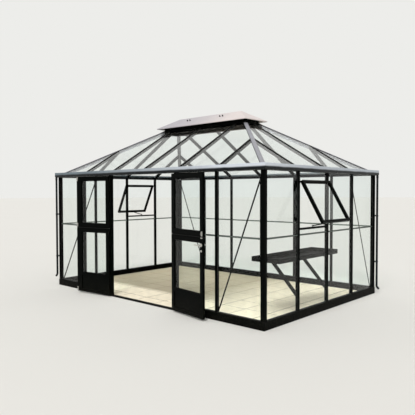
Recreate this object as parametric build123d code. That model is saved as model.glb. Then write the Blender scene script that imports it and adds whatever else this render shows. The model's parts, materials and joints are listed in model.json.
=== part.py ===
from build123d import *
import math
import os

"""Glass greenhouse with a hipped roof, a raised ridge vent cap and split double doors.

Units are millimetres. X runs along the front, the front faces -Y and Z is up.
The origin is the middle of the base frame's footprint, on the ground.
All sizes come from the glazing bay, the eave height and the roof pitch. The roof takes most skill:
hip bars, jack rafters and panes are cut to each other from one seat plane, and the gutters are mitred.
"""

# Bays and walls
BAY = 733.0
FRONT_BAYS = 6
SIDE_BAYS = 4
HALF_L = BAY * FRONT_BAYS / 2
HALF_W = BAY * SIDE_BAYS / 2
EAVE_Z = 1885.0
BASE_H = 105.0
BASE_OUT = 30.0
BASE_IN = 30.0
BASE_SKIN = 5.0
POST = 55.0
JAMB_W = 36.0
BAR_W = 36.0
BAR_OUT = 18.0
BAR_IN = 30.0
BAR_WEB = 10.0
BAR_LIP_W = 22.0
BAR_LIP_T = 6.0
GLASS_T = 4.0
GLASS_OUT = 5.0
JOINT_Z = 1075.0
JOINT_H = 12.0
JOINT_T = 12.0
SEAT = 0.2
FLOOR_T = 16.0
THRESHOLD_H = 20.0
THRESHOLD_OUT = 20.0

# Eave gutter and downpipes
GUTTER_OUT = 67.0
GUTTER_TOP = 1965.0
GUTTER_SKIN = 5.0
GUTTER_WEB = 14.0
NOSE_R = 14.0
PIPE_R = 17.0
PIPE_OFF = 50.0
PIPE_SKIN = 2.0
PIPE_END_FRONT = 190.0
PIPE_END_BACK = 110.0
CLIP_H = 24.0
CLIP_T = 3.0
CLIP_SHARES = (0.27, 0.66)
SHOE_DROP = 40.0
SHOE_REACH = 38.0

# Roof
PITCH = math.tan(math.radians(30.5))
SEAT_Z = 1930.0
ROOF_GLASS_T = 4.6
GLASS_LAP = 20.0
RAFTER_W = 36.0
RAFTER_WEB = 12.0
RAFTER_DEPTH = 52.0
CAP_RISE = 9.0
HIP_W = 56.0
HIP_WEB = 14.0
HIP_DEPTH = 62.0
CURB_HALF_W = 170.0
CURB_T = 20.0
CURB_DOWN = 62.0
CURB_UP = 73.0
CAP_OVER = 110.0
CAP_RIDGE_HALF = 690.0
CAP_END = 300.0
CAP_CLEAR = 30.0
CAP_SKIN = 6.0
CAP_LIP = 12.0
STRAP_W = 40.0
STRAP_T = 10.0
STRAP_LEG = 30.0
STRAP_LEG_OUT = 125.0

# Doors
SIDE_GAP = 6.0
MEET_GAP = 7.0
LEAF_T = 34.0
LEAF_FACE = 40.0
LEAF_BOTTOM = 28.0
LEAF_TOP = 1875.0
SPLIT_Z = 1062.0
SPLIT_GAP = 6.0
STILE = 60.0
# The passive leaf carries the bolts in a wider free stile
FREE_STILE = {"left": 105.0, "right": 60.0}
TOP_RAIL = 62.0
MID_RAIL = 65.0
KICK_TOP = 335.0
KICK_RAIL = 40.0
KICK_T = 14.0
SWING = {"left": 171.0, "right": 170.0}
KNUCKLE_R = 7.0
PIN_R = 3.0
PIN_PLAY = 0.4
KNUCKLE_H = 26.0
KNUCKLE_GAP = 1.0
PLATE_T = 2.5
PLATE_W = 30.0
HINGE_INSET = 150.0
BOLT_W = 22.0
BOLT_H = 60.0
BOLT_EDGE = 15.0
BOLT_PLATE = 2.5
BOLT_ROD_R = 4.0
BOLT_INSET = 8.0
HANDLE_Z = 960.0
LEVER_L = 95.0
LEVER_H = 16.0
LEVER_T = 10.0
LEVER_OUT = 46.0
ROSE_R = 22.0
ROSE_T = 8.0
NECK_R = 8.0

# Side windows
SILL_Z = 1163.0
HEAD_Z = 1742.0
WIN_RAIL = 22.0
SASH_W = 32.0
SASH_T = 40.0
SASH_LAP = 16.0
SASH_SIDE = 14.0
SASH_FACE = BAR_OUT + 2.0
PEG_OUT = -5.0
STAY_W = 14.0
STAY_T = 4.0
PEG_H = 26.0
# Bay, counted from the left seen from outside, and how far the sash stands open in degrees
WINDOWS = {"right": (2, 30.0), "left": (2, 26.0)}

# Staging inside the right wall
STAGE_TOP = 800.0
STAGE_H = 62.0
STAGE_DEPTH = 430.0
STAGE_SKIN = 3.0
STAGE_BAYS = (0.5, 2.5)
ARM_W = 34.0
ARM_T = 8.0
ARM_FOOT_Z = 290.0
ARM_FOOT_H = 50.0
ARM_INSET = 10.0
ARM_TIP = 45.0

BRACE_W = 20.0
BRACE_T = 4.0


def prism(points, reach):
    """Extrude the flat polygon through the points along the vector reach."""
    face = Face(Wire.make_polygon([Vector(*p) for p in points], close=True))
    return Solid.extrude(face, Vector(*reach))


def box(x0, x1, y0, y1, z0, z1):
    """Box between two corners."""
    return prism([(x0, y0, z0), (x1, y0, z0), (x1, y1, z0), (x0, y1, z0)], (0, 0, z1 - z0))


def solids(shape):
    """List the solids of a shape or a list of shapes."""
    if isinstance(shape, (list, tuple)):
        return [s for item in shape for s in solids(item)]
    return list(shape.solids())


def save(name, shape):
    """Write one node as STEP."""
    parts = solids(shape)
    body = parts[0] if len(parts) == 1 else Compound(children=parts)
    export_step(body, f"parts/{name}.step")


def wall(side, along, out, z):
    """Point on a wall: along runs left to right seen from outside, out is away from the room."""
    if side == "front":
        return (along, -HALF_W - out, z)
    if side == "back":
        return (-along, HALF_W + out, z)
    if side == "right":
        return (HALF_L + out, along, z)
    return (-HALF_L - out, -along, z)


def wall_prism(side, a0, a1, section):
    """Sweep an (out, z) section along a wall from a0 to a1."""
    start = [wall(side, a0, out, z) for out, z in section]
    p0 = wall(side, a0, 0, 0)
    p1 = wall(side, a1, 0, 0)
    return prism(start, (p1[0] - p0[0], p1[1] - p0[1], 0))


def wall_post(side, z0, z1, plan):
    """Raise an (along, out) plan on a wall from z0 to z1."""
    return prism([wall(side, a, out, z0) for a, out in plan], (0, 0, z1 - z0))


def wall_box(side, a0, a1, o0, o1, z0, z1):
    """Box in wall coordinates."""
    return wall_post(side, z0, z1, [(a0, o0), (a1, o0), (a1, o1), (a0, o1)])


def half(side):
    """Half length of a wall between post centres."""
    return HALF_L if side in ("front", "back") else HALF_W


def bays(side):
    """Number of bays of a wall."""
    return FRONT_BAYS if side in ("front", "back") else SIDE_BAYS


def line(side, index):
    """Position of a grid line along a wall, counted from its left end seen from outside."""
    return -half(side) + BAY * index


END = 3 * GUTTER_OUT


def wedge(side):
    """Plan wedge that mitres a run of this wall at 45 degrees into its neighbours."""
    far = 2 * END
    h = half(side)
    depth = min(h, HALF_W)
    plan = [(-h - far, far), (h + far, far), (h - depth, -depth)]
    if h > depth:
        plan.append((-h + depth, -depth))
    return wall_post(side, -BASE_H, 2 * GUTTER_TOP, plan)


SIDES = ("front", "right", "back", "left")
WEDGES = {side: wedge(side) for side in SIDES}


def arc(cx, cz, r, a0, a1, n):
    """Points of an arc in an (out, z) section, angles in degrees."""
    step = (a1 - a0) / n
    return [(cx + r * math.cos(math.radians(a0 + i * step)),
             cz + r * math.sin(math.radians(a0 + i * step))) for i in range(n + 1)]


# Base frame
def base_section():
    """Channel section of the base rail, open to the room."""
    o, i, s = BASE_OUT, -BASE_IN, BASE_SKIN
    return [(i, 0), (o, 0), (o, BASE_H - 8), (o - 8, BASE_H), (i, BASE_H), (i, BASE_H - s),
            (o - 8 - s, BASE_H - s), (o - s, BASE_H - 8 - s), (o - s, s), (i, s)]


def base_run(side, a0, a1):
    """Base rail of one wall from a0 to a1, mitred at the corners."""
    return wall_prism(side, a0, a1, base_section()) & WEDGES[side]


DOOR_L = line("front", 2)
DOOR_R = line("front", 4)


def make_base():
    """Base rails, threshold and the slab floor inside them."""
    save("base_rail_front", [base_run("front", -HALF_L - END, DOOR_L - JAMB_W / 2),
                             base_run("front", DOOR_R + JAMB_W / 2, HALF_L + END)])
    for side in ("right", "back", "left"):
        h = half(side) + END
        save(f"base_rail_{side}", base_run(side, -h, h))
    save("threshold", wall_box("front", DOOR_L + JAMB_W / 2, DOOR_R - JAMB_W / 2,
                               -BASE_IN, THRESHOLD_OUT, 0.0, THRESHOLD_H))
    x, y = HALF_L - BASE_IN, HALF_W - BASE_IN
    save("floor_slab", box(-x, x, -y, y, 0.0, FLOOR_T))


# Upright members
def bar_plan(centre):
    """Glazing bar plan: outer cap, web and inner lip."""
    c, w, b, lip = centre, BAR_W / 2, BAR_WEB / 2, BAR_LIP_W / 2
    return [(c - w, BAR_OUT), (c + w, BAR_OUT), (c + w, GLASS_OUT), (c + b, GLASS_OUT),
            (c + b, BAR_LIP_T - BAR_IN), (c + lip, BAR_LIP_T - BAR_IN), (c + lip, -BAR_IN),
            (c - lip, -BAR_IN), (c - lip, BAR_LIP_T - BAR_IN), (c - b, BAR_LIP_T - BAR_IN),
            (c - b, GLASS_OUT), (c - w, GLASS_OUT)]


def make_uprights():
    """Corner posts, door jambs and glazing bars."""
    posts = []
    h = POST / 2
    for sx in (-1, 1):
        for sy in (-1, 1):
            x, y = sx * HALF_L, sy * HALF_W
            post = box(x - h, x + h, y - h, y + h, BASE_H, EAVE_Z)
            edge = [e for e in post.edges().filter_by(Axis.Z)
                    if abs(e.center().X) > HALF_L and abs(e.center().Y) > HALF_W]
            posts.append(fillet(edge, 8.0))
    save("corner_posts", posts)
    j = JAMB_W / 2
    save("door_jambs", [wall_box("front", c - j, c + j, -h, h, 0.0, EAVE_Z) for c in (DOOR_L, DOOR_R)])
    for side in SIDES:
        skip = (2, 3, 4) if side == "front" else ()
        bars = [wall_post(side, BASE_H, EAVE_Z, bar_plan(line(side, i)))
                for i in range(1, bays(side)) if i not in skip]
        save(f"glazing_bars_{side}", bars)


def bay_span(side, bay):
    """Clear span of a bay between the webs or posts that carry its panes."""
    def edge(index, sign):
        if index in (0, bays(side)):
            reach = POST / 2
        elif side == "front" and index in (2, 4):
            reach = JAMB_W / 2
        else:
            reach = BAR_WEB / 2
        return line(side, index) + sign * (reach + SEAT)
    return edge(bay - 1, 1), edge(bay, -1)


def make_wall_glass():
    """Panes and the horizontal joint strips between them."""
    strips = []
    for side in SIDES:
        panes = []
        for bay in range(1, bays(side) + 1):
            if side == "front" and bay in (3, 4):
                continue
            a0, a1 = bay_span(side, bay)
            rows = [(BASE_H, JOINT_Z - JOINT_H / 2), (JOINT_Z + JOINT_H / 2, EAVE_Z)]
            if side in WINDOWS and bay == WINDOWS[side][0]:
                rows = [rows[0], (JOINT_Z + JOINT_H / 2, SILL_Z - WIN_RAIL), (HEAD_Z + WIN_RAIL, EAVE_Z)]
            for z0, z1 in rows:
                panes.append(wall_box(side, a0, a1, GLASS_OUT - GLASS_T, GLASS_OUT, z0 + SEAT, z1 - SEAT))
            strips.append(wall_box(side, a0, a1, GLASS_OUT - JOINT_T, GLASS_OUT,
                                   JOINT_Z - JOINT_H / 2, JOINT_Z + JOINT_H / 2))
        save(f"wall_glass_{side}", panes)
    save("glass_joint_strips", strips)


# Eaves
def seat(v):
    """Height of the glass underside at a distance v in from the post centre line."""
    return SEAT_Z + PITCH * v


def gutter_section():
    """Eave beam and round-nosed gutter as one extrusion, in (out, z)."""
    o, s, w = GUTTER_OUT, GUTTER_SKIN, GUTTER_WEB
    inner = BASE_IN
    t = 4.5
    outer = arc(o - NOSE_R, EAVE_Z + NOSE_R, NOSE_R, -90, 0, 4)
    lip = arc(o - 4, GUTTER_TOP - 4, 4, 0, 180, 4)
    trough = arc(o - s - 9, EAVE_Z + s + 10, 9, 0, -90, 3)
    return ([(-inner, EAVE_Z)] + outer + lip + [(o - 8, GUTTER_TOP - 8), (o - s, GUTTER_TOP - 12)] + trough
            + [(w, EAVE_Z + s + 1), (w, seat(-w)), (-inner, seat(inner)), (-inner, seat(inner) - t),
               (w - s, seat(s - w) - t), (w - s, EAVE_Z + s), (-inner, EAVE_Z + s)])


def pipe_clip(sx, sy, z):
    """Collar round a downpipe on a diagonal arm from the corner post."""
    x, y = sx * (HALF_L + PIPE_OFF), sy * (HALF_W + PIPE_OFF)
    px, py = sx * HALF_L, sy * HALF_W
    a = 2 * CLIP_T
    arm = prism([(px - a * sx, py + a * sy, z - CLIP_H / 2), (px + a * sx, py - a * sy, z - CLIP_H / 2),
                 (x + a * sx, y - a * sy, z - CLIP_H / 2), (x - a * sx, y + a * sy, z - CLIP_H / 2)],
                (0, 0, CLIP_H))
    collar = Pos(x, y, z) * Cylinder(PIPE_R + CLIP_T, CLIP_H)
    bore = Pos(x, y, z) * Cylinder(PIPE_R, 2 * CLIP_H)
    post = Pos(px, py, z) * Box(POST, POST, 2 * CLIP_H)
    return arm + collar - post - bore


def make_eaves():
    """Four mitred gutters with the pipes below two corners."""
    for side in SIDES:
        h = half(side) + END
        save(f"eave_gutter_{side}", wall_prism(side, -h, h, gutter_section()) & WEDGES[side])
    pipes, clips = [], []
    for sx, sy, end in ((-1, -1, PIPE_END_FRONT), (1, 1, PIPE_END_BACK)):
        x, y = sx * (HALF_L + PIPE_OFF), sy * (HALF_W + PIPE_OFF)
        route = Polyline((x, y, EAVE_Z), (x, y, end), (x + sx * SHOE_REACH, y, end - SHOE_DROP))
        path = fillet(route.vertices().sort_by(Axis.Z)[1], PIPE_R + CLIP_T)
        ring = Plane(origin=(x, y, EAVE_Z), z_dir=(0, 0, -1)) * (Circle(PIPE_R) - Circle(PIPE_R - PIPE_SKIN))
        pipes.append(sweep(ring, path=path))
        clips += [pipe_clip(sx, sy, share * EAVE_Z) for share in CLIP_SHARES]
    save("downpipes", pipes)
    save("downpipe_clips", clips)


# Roof
CURB_V = HALF_W - CURB_HALF_W
CURB_HALF_L = HALF_L - CURB_V
CURB_TOP = SEAT_Z + PITCH * CURB_V + CURB_UP
CAP_HALF_W = CURB_HALF_W + CAP_OVER
CAP_DROP = CAP_SKIN * math.hypot(1.0, PITCH)
CAP_LOW = CURB_TOP + CAP_CLEAR + CAP_DROP - PITCH * CAP_OVER - CAP_LIP
CAP_TOP = CAP_LOW + CAP_LIP + PITCH * CAP_HALF_W


def slope_point(side, along, v, dz=0.0):
    """Point on the glass underside of a roof slope, v in from the post line, raised by dz."""
    return wall(side, along, -v, seat(v) + dz)


def rafter(side, along, v1):
    """Rafter from the eave to v1: cap above the panes and web below them."""
    w, b = RAFTER_W / 2, RAFTER_WEB / 2
    v0 = -GLASS_LAP
    t = ROOF_GLASS_T
    cap = [slope_point(side, along + a, v0, dz) for a, dz in
           ((-w, t), (w, t), (w, t + CAP_RISE - 3), (w - 5, t + CAP_RISE), (5 - w, t + CAP_RISE),
            (-w, t + CAP_RISE - 3))]
    p0 = slope_point(side, along, v0)
    p1 = slope_point(side, along, v1)
    cap = prism(cap, (p1[0] - p0[0], p1[1] - p0[1], p1[2] - p0[2]))
    v0 = BASE_IN
    corners = ((-b, -RAFTER_DEPTH), (b, -RAFTER_DEPTH), (b, t), (-b, t))
    web = [slope_point(side, along + a, v0, dz) for a, dz in corners]
    p0 = slope_point(side, along, v0)
    web = prism(web, (p1[0] - p0[0], p1[1] - p0[1], p1[2] - p0[2]))
    return cap + web


def hip(sx, sy):
    """Hip bar along the 45 degree line of one corner, with a vee cap over both slopes."""
    k = PITCH / math.sqrt(2)
    t = ROOF_GLASS_T
    w, b = HIP_W / 2, HIP_WEB / 2
    r = CAP_RISE

    def point(v, s, dz):
        return (sx * (HALF_L - v) + sx * s / math.sqrt(2), sy * (HALF_W - v) - sy * s / math.sqrt(2),
                seat(v) + dz)

    def run(section, v0, v1):
        p0, p1 = point(v0, 0, 0), point(v1, 0, 0)
        return prism([point(v0, s, dz) for s, dz in section], tuple(q - p for p, q in zip(p0, p1)))

    cap = [(-w, t - k * w), (0, t), (w, t - k * w), (w, t - k * w + r), (w - 6, t - k * w + r + 3),
           (w - 9, t - k * w + r + 1), (0, t + r - 1), (9 - w, t - k * w + r + 1),
           (6 - w, t - k * w + r + 3), (-w, t - k * w + r)]
    web = [(-b, -HIP_DEPTH), (b, -HIP_DEPTH), (b, t - k * b), (0, t), (-b, t - k * b)]
    return run(cap, -GLASS_LAP, CURB_V) + run(web, BASE_IN + b / math.sqrt(2), CURB_V)


def roof_pane(side, bay):
    """One roof pane, cut along the hips where it meets them."""
    n = bays(side)
    b = RAFTER_WEB / 2 + SEAT
    off = (HIP_WEB / 2 + SEAT) * math.sqrt(2)
    h = half(side)
    a0 = line(side, bay - 1) + (b if bay > 1 else -BAY)
    a1 = line(side, bay) - (b if bay < n else -BAY)

    def limit(v):
        return h - v - off

    pts = []
    v_low, v_top = -GLASS_LAP, CURB_V - SEAT
    stops = sorted({v_low, v_top, h - off - abs(a0), h - off - abs(a1)})
    stops = [v for v in stops if v_low <= v <= v_top]
    lows = [(max(a0, -limit(v)), v) for v in stops]
    highs = [(min(a1, limit(v)), v) for v in stops]
    keep = [i for i in range(len(stops)) if highs[i][0] - lows[i][0] > -1e-6]
    for i in keep:
        pts.append(lows[i])
    for i in reversed(keep):
        if highs[i][0] - lows[i][0] > 1e-6:
            pts.append(highs[i])
    clean = []
    for i, p in enumerate(pts):
        a, c = pts[i - 1], pts[(i + 1) % len(pts)]
        cross = (p[0] - a[0]) * (c[1] - p[1]) - (p[1] - a[1]) * (c[0] - p[0])
        if abs(cross) > 1.0:
            clean.append(p)
    return prism([slope_point(side, a, v) for a, v in clean], (0, 0, ROOF_GLASS_T))


def hip_shape(half_l, half_w, ridge, base, top):
    """Solid hipped roof between a base height and a ridge height, with a short upright lip."""
    eave = top - PITCH * half_w
    far_x, far_y = 1.1 * half_l, 1.1 * half_w
    across = prism([(-far_x, -half_w, base), (-far_x, -half_w, eave), (-far_x, 0, top),
                    (-far_x, half_w, eave), (-far_x, half_w, base)], (2 * far_x, 0, 0))
    along = prism([(-half_l, -far_y, base), (-half_l, -far_y, eave), (-ridge, -far_y, top),
                   (ridge, -far_y, top), (half_l, -far_y, eave), (half_l, -far_y, base)], (0, 2 * far_y, 0))
    return across & along


def make_roof():
    """Rafters, hips, panes, curb, vent cap and its straps."""
    reach = {side: {} for side in SIDES}
    for side in SIDES:
        for i in range(1, bays(side)):
            from_end = min(i, bays(side) - i) * BAY
            reach[side][i] = min(CURB_V, from_end)
    hips = [hip(sx, sy) for sx in (-1, 1) for sy in (-1, 1)]
    save("hip_bars", hips)
    for side in SIDES:
        bars = []
        for i, v1 in reach[side].items():
            bar = rafter(side, line(side, i), v1)
            if v1 < CURB_V:
                for h in hips:
                    bar = bar - h
                bar = max(bar.solids(), key=lambda s: s.volume)
            bars.append(bar)
        save(f"rafters_{side}", bars)
        save(f"roof_glass_{side}", [roof_pane(side, bay) for bay in range(1, bays(side) + 1)])
    x, y, t = CURB_HALF_L, CURB_HALF_W, CURB_T
    low = seat(CURB_V) - CURB_DOWN
    vent = box(t - x, x - t, t - y, y - t, low - t, CURB_TOP + t)
    save("ridge_curb", box(-x, x, -y, y, low, CURB_TOP) - vent)
    make_cap()


def make_cap():
    """Hipped sheet cap that overhangs the ridge vent, carried on straps across the curb."""
    long_half = CAP_RIDGE_HALF + CAP_END
    outer = hip_shape(long_half, CAP_HALF_W, CAP_RIDGE_HALF, CAP_LOW, CAP_TOP)
    inner = hip_shape(long_half - CAP_SKIN, CAP_HALF_W - CAP_SKIN, CAP_RIDGE_HALF, CAP_LOW - CURB_T,
                      CAP_TOP - CAP_DROP)
    save("ridge_cap", outer - inner)
    straps = []
    for x in (-BAY / 2, BAY / 2):
        w = STRAP_W / 2
        strap = box(x - w, x + w, -CURB_HALF_W, CURB_HALF_W, CURB_TOP, CURB_TOP + STRAP_T)
        for sy in (-1, 1):
            u0, u1 = sorted((sy * STRAP_LEG_OUT, sy * (STRAP_LEG_OUT - STRAP_LEG)))
            strap = strap + (box(x - w, x + w, u0, u1, CURB_TOP, CAP_TOP) & inner)
        straps.append(strap)
    save("cap_straps", straps)


def brace(side, a_top, a_foot):
    """Flat diagonal strip on the room side of a wall."""
    z0, z1 = BASE_H, EAVE_Z
    span = math.hypot(a_top - a_foot, z1 - z0)
    dx = BRACE_W / 2 * (z1 - z0) / span
    dz = BRACE_W / 2 * (a_top - a_foot) / span
    pts = [(a_foot - dx, z0 + dz), (a_foot + dx, z0 - dz), (a_top + dx, z1 - dz), (a_top - dx, z1 + dz)]
    near, far = wall(side, 0, -BAR_IN, 0), wall(side, 0, -BAR_IN - BRACE_T, 0)
    strip = prism([wall(side, a, -BAR_IN, z) for a, z in pts], tuple(q - p for p, q in zip(near, far)))
    return strip & wall_box(side, -half(side), half(side), -2 * BAR_IN, 0, BASE_H, EAVE_Z)


def make_braces():
    """Diagonal wind braces, one near a corner on each wall."""
    save("wind_braces", [
        brace("front", line("front", 6) - POST / 2 - 2, line("front", 5)),
        brace("right", line("right", 3), line("right", 4) - POST / 2 - 2),
        brace("back", line("back", 6) - POST / 2 - 2, line("back", 5)),
        brace("left", line("left", 3), line("left", 4) - POST / 2 - 2),
    ])


# Side windows
def window(side):
    """Fixed head and sill rails, the open sash, its pane and its stay."""
    bay, opened = WINDOWS[side]
    a0, a1 = bay_span(side, bay)
    face, inner = SASH_FACE, BAR_LIP_T + 2 - BAR_IN
    edge = BAR_W / 2 + SEAT
    c0, c1 = line(side, bay - 1) + edge, line(side, bay) - edge
    rails = []
    for z0, z1 in ((SILL_Z - WIN_RAIL, SILL_Z), (HEAD_Z, HEAD_Z + WIN_RAIL)):
        rail = wall_box(side, a0, a1, inner, GLASS_OUT, z0, z1)
        rails.append(rail + wall_box(side, c0, c1, inner, face, z0, z1))
    b0 = line(side, bay - 1) + SASH_SIDE
    b1 = line(side, bay) - SASH_SIDE
    top, low = HEAD_Z + SASH_LAP, SILL_Z - SASH_LAP
    light = wall_box(side, b0 + SASH_W, b1 - SASH_W, face - SASH_T, face + 2 * SASH_T,
                     low + SASH_W, top - SASH_W)
    ring = wall_box(side, b0, b1, face, face + SASH_T, low, top) - light
    mid = face + SASH_T / 2
    pane = wall_box(side, b0 + SASH_W + SEAT, b1 - SASH_W - SEAT, mid - GLASS_T / 2, mid + GLASS_T / 2,
                    low + SASH_W + SEAT, top - SASH_W - SEAT)
    axis = Axis(wall(side, 0, face, top), (0, -1, 0) if side == "right" else (0, 1, 0))
    arm = stay(side, (b0 + b1) / 2, top, low, opened)
    return rails, ring.rotate(axis, opened), pane.rotate(axis, opened), arm


def stay(side, centre, top, low, opened):
    """Flat bar from a peg on the sill rail to the inner face of the open sash."""
    lean = (math.sin(math.radians(opened)), -math.cos(math.radians(opened)))
    reach = top - low - SASH_W / 2
    peg = (PEG_OUT, SILL_Z + PEG_H / 2)
    end = (SASH_FACE + reach * lean[0], top + reach * lean[1])
    run = (end[0] - peg[0], end[1] - peg[1])
    span = math.hypot(*run)
    run = (run[0] / span, run[1] / span)
    cross = run[0] * lean[1] - run[1] * lean[0]

    def edge(shift):
        """Both ends of one long edge, the far one on the sash face."""
        near = (peg[0] - run[1] * shift, peg[1] + run[0] * shift)
        gap = (SASH_FACE - near[0], top - near[1])
        far = (gap[0] * lean[1] - gap[1] * lean[0]) / cross
        return near, (near[0] + run[0] * far, near[1] + run[1] * far)

    upper, lower = edge(STAY_W / 2), edge(-STAY_W / 2)
    bar = wall_prism(side, centre - STAY_T / 2, centre + STAY_T / 2, [lower[0], lower[1], upper[1], upper[0]])
    post = wall_box(side, centre - STAY_T, centre + STAY_T, peg[0] - STAY_T, peg[0] + STAY_T,
                    SILL_Z, SILL_Z + PEG_H)
    return bar + post


def make_windows():
    """The two top-hung side windows, standing open."""
    rails, rings, panes, stays = zip(*(window(side) for side in WINDOWS))
    save("window_rails", rails)
    save("window_sashes", rings)
    save("window_panes", panes)
    save("window_stays", stays)


# Staging
def make_staging():
    """Tray table inside the right wall on two bracket arms."""
    y0, y1 = (-HALF_W + BAY * bay for bay in STAGE_BAYS)
    x1 = HALF_L - BAR_IN - SEAT
    x0 = x1 - STAGE_DEPTH
    z1, z0, s = STAGE_TOP, STAGE_TOP - STAGE_H, STAGE_SKIN
    save("staging_tray", box(x0, x1, y0, y1, z0, z1) - box(x0 + s, x1 - s, y0 + s, y1 - s, z0 + s, z1 + 1))
    arms = []
    for i in (1, 2):
        y = -HALF_W + BAY * i
        w, t = ARM_W / 2, ARM_T
        z = z0
        tip = x0 + ARM_INSET
        top = box(tip, x1, y - w, y + w, z - t, z)
        foot = prism([(x1, y - w, ARM_FOOT_Z), (x1, y - w, ARM_FOOT_Z + ARM_FOOT_H),
                      (tip + ARM_TIP, y - w, z), (tip, y - w, z), (tip, y - w, z - t)], (0, 2 * w, 0))
        arms.append(top + foot)
    save("staging_arms", arms)


# Doors
OPENING = DOOR_R - DOOR_L - JAMB_W
LEAF_W = (OPENING - 2 * SIDE_GAP - MEET_GAP) / 2
LOW_TOP = SPLIT_Z - SPLIT_GAP / 2
UP_BOTTOM = SPLIT_Z + SPLIT_GAP / 2


def hinge_x(hand):
    """X of the hinge axis, in the middle of the gap beside the jamb."""
    x = DOOR_L + JAMB_W / 2 + SIDE_GAP / 2
    return x if hand == "left" else -x


def hinge_zs(low, high):
    """Heights of the two hinges of a leaf."""
    return low + HINGE_INSET, high - HINGE_INSET


def leaf_point(hand, s, o, z):
    """Point on the closed leaf: s from the hinge edge, o inward from the outer face."""
    sign = 1 if hand == "left" else -1
    return (hinge_x(hand) + sign * (s + SIDE_GAP / 2), -HALF_W - LEAF_FACE + o, z)


def leaf_box(hand, s0, s1, o0, o1, z0, z1):
    """Box on the closed leaf, in the coordinates of leaf_point."""
    p, q = leaf_point(hand, s0, o0, z0), leaf_point(hand, s1, o1, z1)
    return box(min(p[0], q[0]), max(p[0], q[0]), p[1], q[1], z0, z1)


def turned(hand, shape):
    """Swing a piece from the closed leaf to the opened one."""
    axis = Axis((hinge_x(hand), -HALF_W - LEAF_FACE, 0), (0, 0, 1))
    angle = -SWING[hand] if hand == "left" else SWING[hand]
    return shape.rotate(axis, angle)


def leaf_frame(hand, low, high, rails):
    """Stiles and rails as one piece with the leaf halves of its hinges."""
    frame = leaf_box(hand, 0, LEAF_W, 0, LEAF_T, low, high)
    for z0, z1 in rails:
        frame = frame - leaf_box(hand, STILE, LEAF_W - FREE_STILE[hand], -5, LEAF_T + 5, z0, z1)
    hx, hy = hinge_x(hand), -HALF_W - LEAF_FACE
    for z in hinge_zs(low, high):
        plate = leaf_box(hand, -SIDE_GAP / 2, PLATE_W, -PLATE_T, 0, z - KNUCKLE_H / 2, z + KNUCKLE_H / 2)
        barrel = Pos(hx, hy, z) * Cylinder(KNUCKLE_R, KNUCKLE_H)
        frame = frame + plate + barrel - Pos(hx, hy, z) * Cylinder(PIN_R + PIN_PLAY, KNUCKLE_H + 2)
    for z in hinge_zs(low, high):
        for sign in (-1, 1):
            zc = z + sign * (KNUCKLE_H + KNUCKLE_GAP)
            frame = frame - Pos(hx, hy, zc) * Cylinder(KNUCKLE_R + 2.0, KNUCKLE_H + KNUCKLE_GAP)
    return frame


def jamb_hinge(hand, z):
    """Fixed half of one hinge: two knuckles, the pin and the plate on the jamb."""
    hx, hy = hinge_x(hand), -HALF_W - LEAF_FACE
    sign = 1 if hand == "left" else -1
    pin = Pos(hx, hy, z) * Cylinder(PIN_R, 3 * KNUCKLE_H + 2 * KNUCKLE_GAP)
    part = pin
    for k in (-1, 1):
        zc = z + k * (KNUCKLE_H + KNUCKLE_GAP)
        part = part + Pos(hx, hy, zc) * Cylinder(KNUCKLE_R, KNUCKLE_H)
        front = -HALF_W - POST / 2
        xs = sorted((hx - sign * 2, hx - sign * (SIDE_GAP / 2 + 4)))
        part = part + box(xs[0], xs[1], hy, front, zc - KNUCKLE_H / 2, zc + KNUCKLE_H / 2)
        xs = sorted((hx - sign * (SIDE_GAP / 2), hx - sign * (SIDE_GAP / 2 + PLATE_W)))
        part = part + box(xs[0], xs[1], front - PLATE_T, front, zc - KNUCKLE_H / 2, zc + KNUCKLE_H / 2)
    return part


def bolt(hand, z):
    """Barrel bolt on the inside of the free stile, drawn back, centred at height z."""
    s, h = LEAF_W - BOLT_EDGE, BOLT_H / 2
    rod_out = LEAF_T + BOLT_PLATE + BOLT_ROD_R + 1.0
    part = leaf_box(hand, s - BOLT_W / 2, s + BOLT_W / 2, LEAF_T, LEAF_T + BOLT_PLATE, z - h, z + h)
    part = part + Pos(*leaf_point(hand, s, rod_out, z)) * Cylinder(BOLT_ROD_R, BOLT_H - 2)
    for k in (-1, 1):
        zc = z + k * (h - BOLT_INSET)
        part = part + leaf_box(hand, s - BOLT_INSET, s + BOLT_INSET, LEAF_T, rod_out + BOLT_ROD_R + 2.0,
                               zc - BOLT_ROD_R, zc + BOLT_ROD_R)
    knob = Pos(*leaf_point(hand, s, rod_out + BOLT_INSET, z)) * Rot(90, 0, 0)
    return part + knob * Cylinder(BOLT_ROD_R, 2 * BOLT_INSET)


def lever(hand, face, out):
    """Lever handle on its rose, standing off one face of the free stile and pointing at the hinge."""
    s, z = LEAF_W - FREE_STILE[hand] / 2, HANDLE_Z
    turn = Rot(90, 0, 0)
    rose = Pos(*leaf_point(hand, s, face + out * ROSE_T / 2, z)) * turn * Cylinder(ROSE_R, ROSE_T)
    neck = Pos(*leaf_point(hand, s, face + out * LEVER_OUT / 2, z)) * turn * Cylinder(NECK_R, LEVER_OUT)
    o0, o1 = sorted((face + out * (LEVER_OUT - LEVER_T), face + out * LEVER_OUT))
    grip = leaf_box(hand, s - LEVER_L, s + NECK_R, o0, o1, z - LEVER_H / 2, z + LEVER_H / 2)
    return rose + neck + fillet(grip.edges().filter_by(Axis.X), LEVER_T * 0.4)


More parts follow.
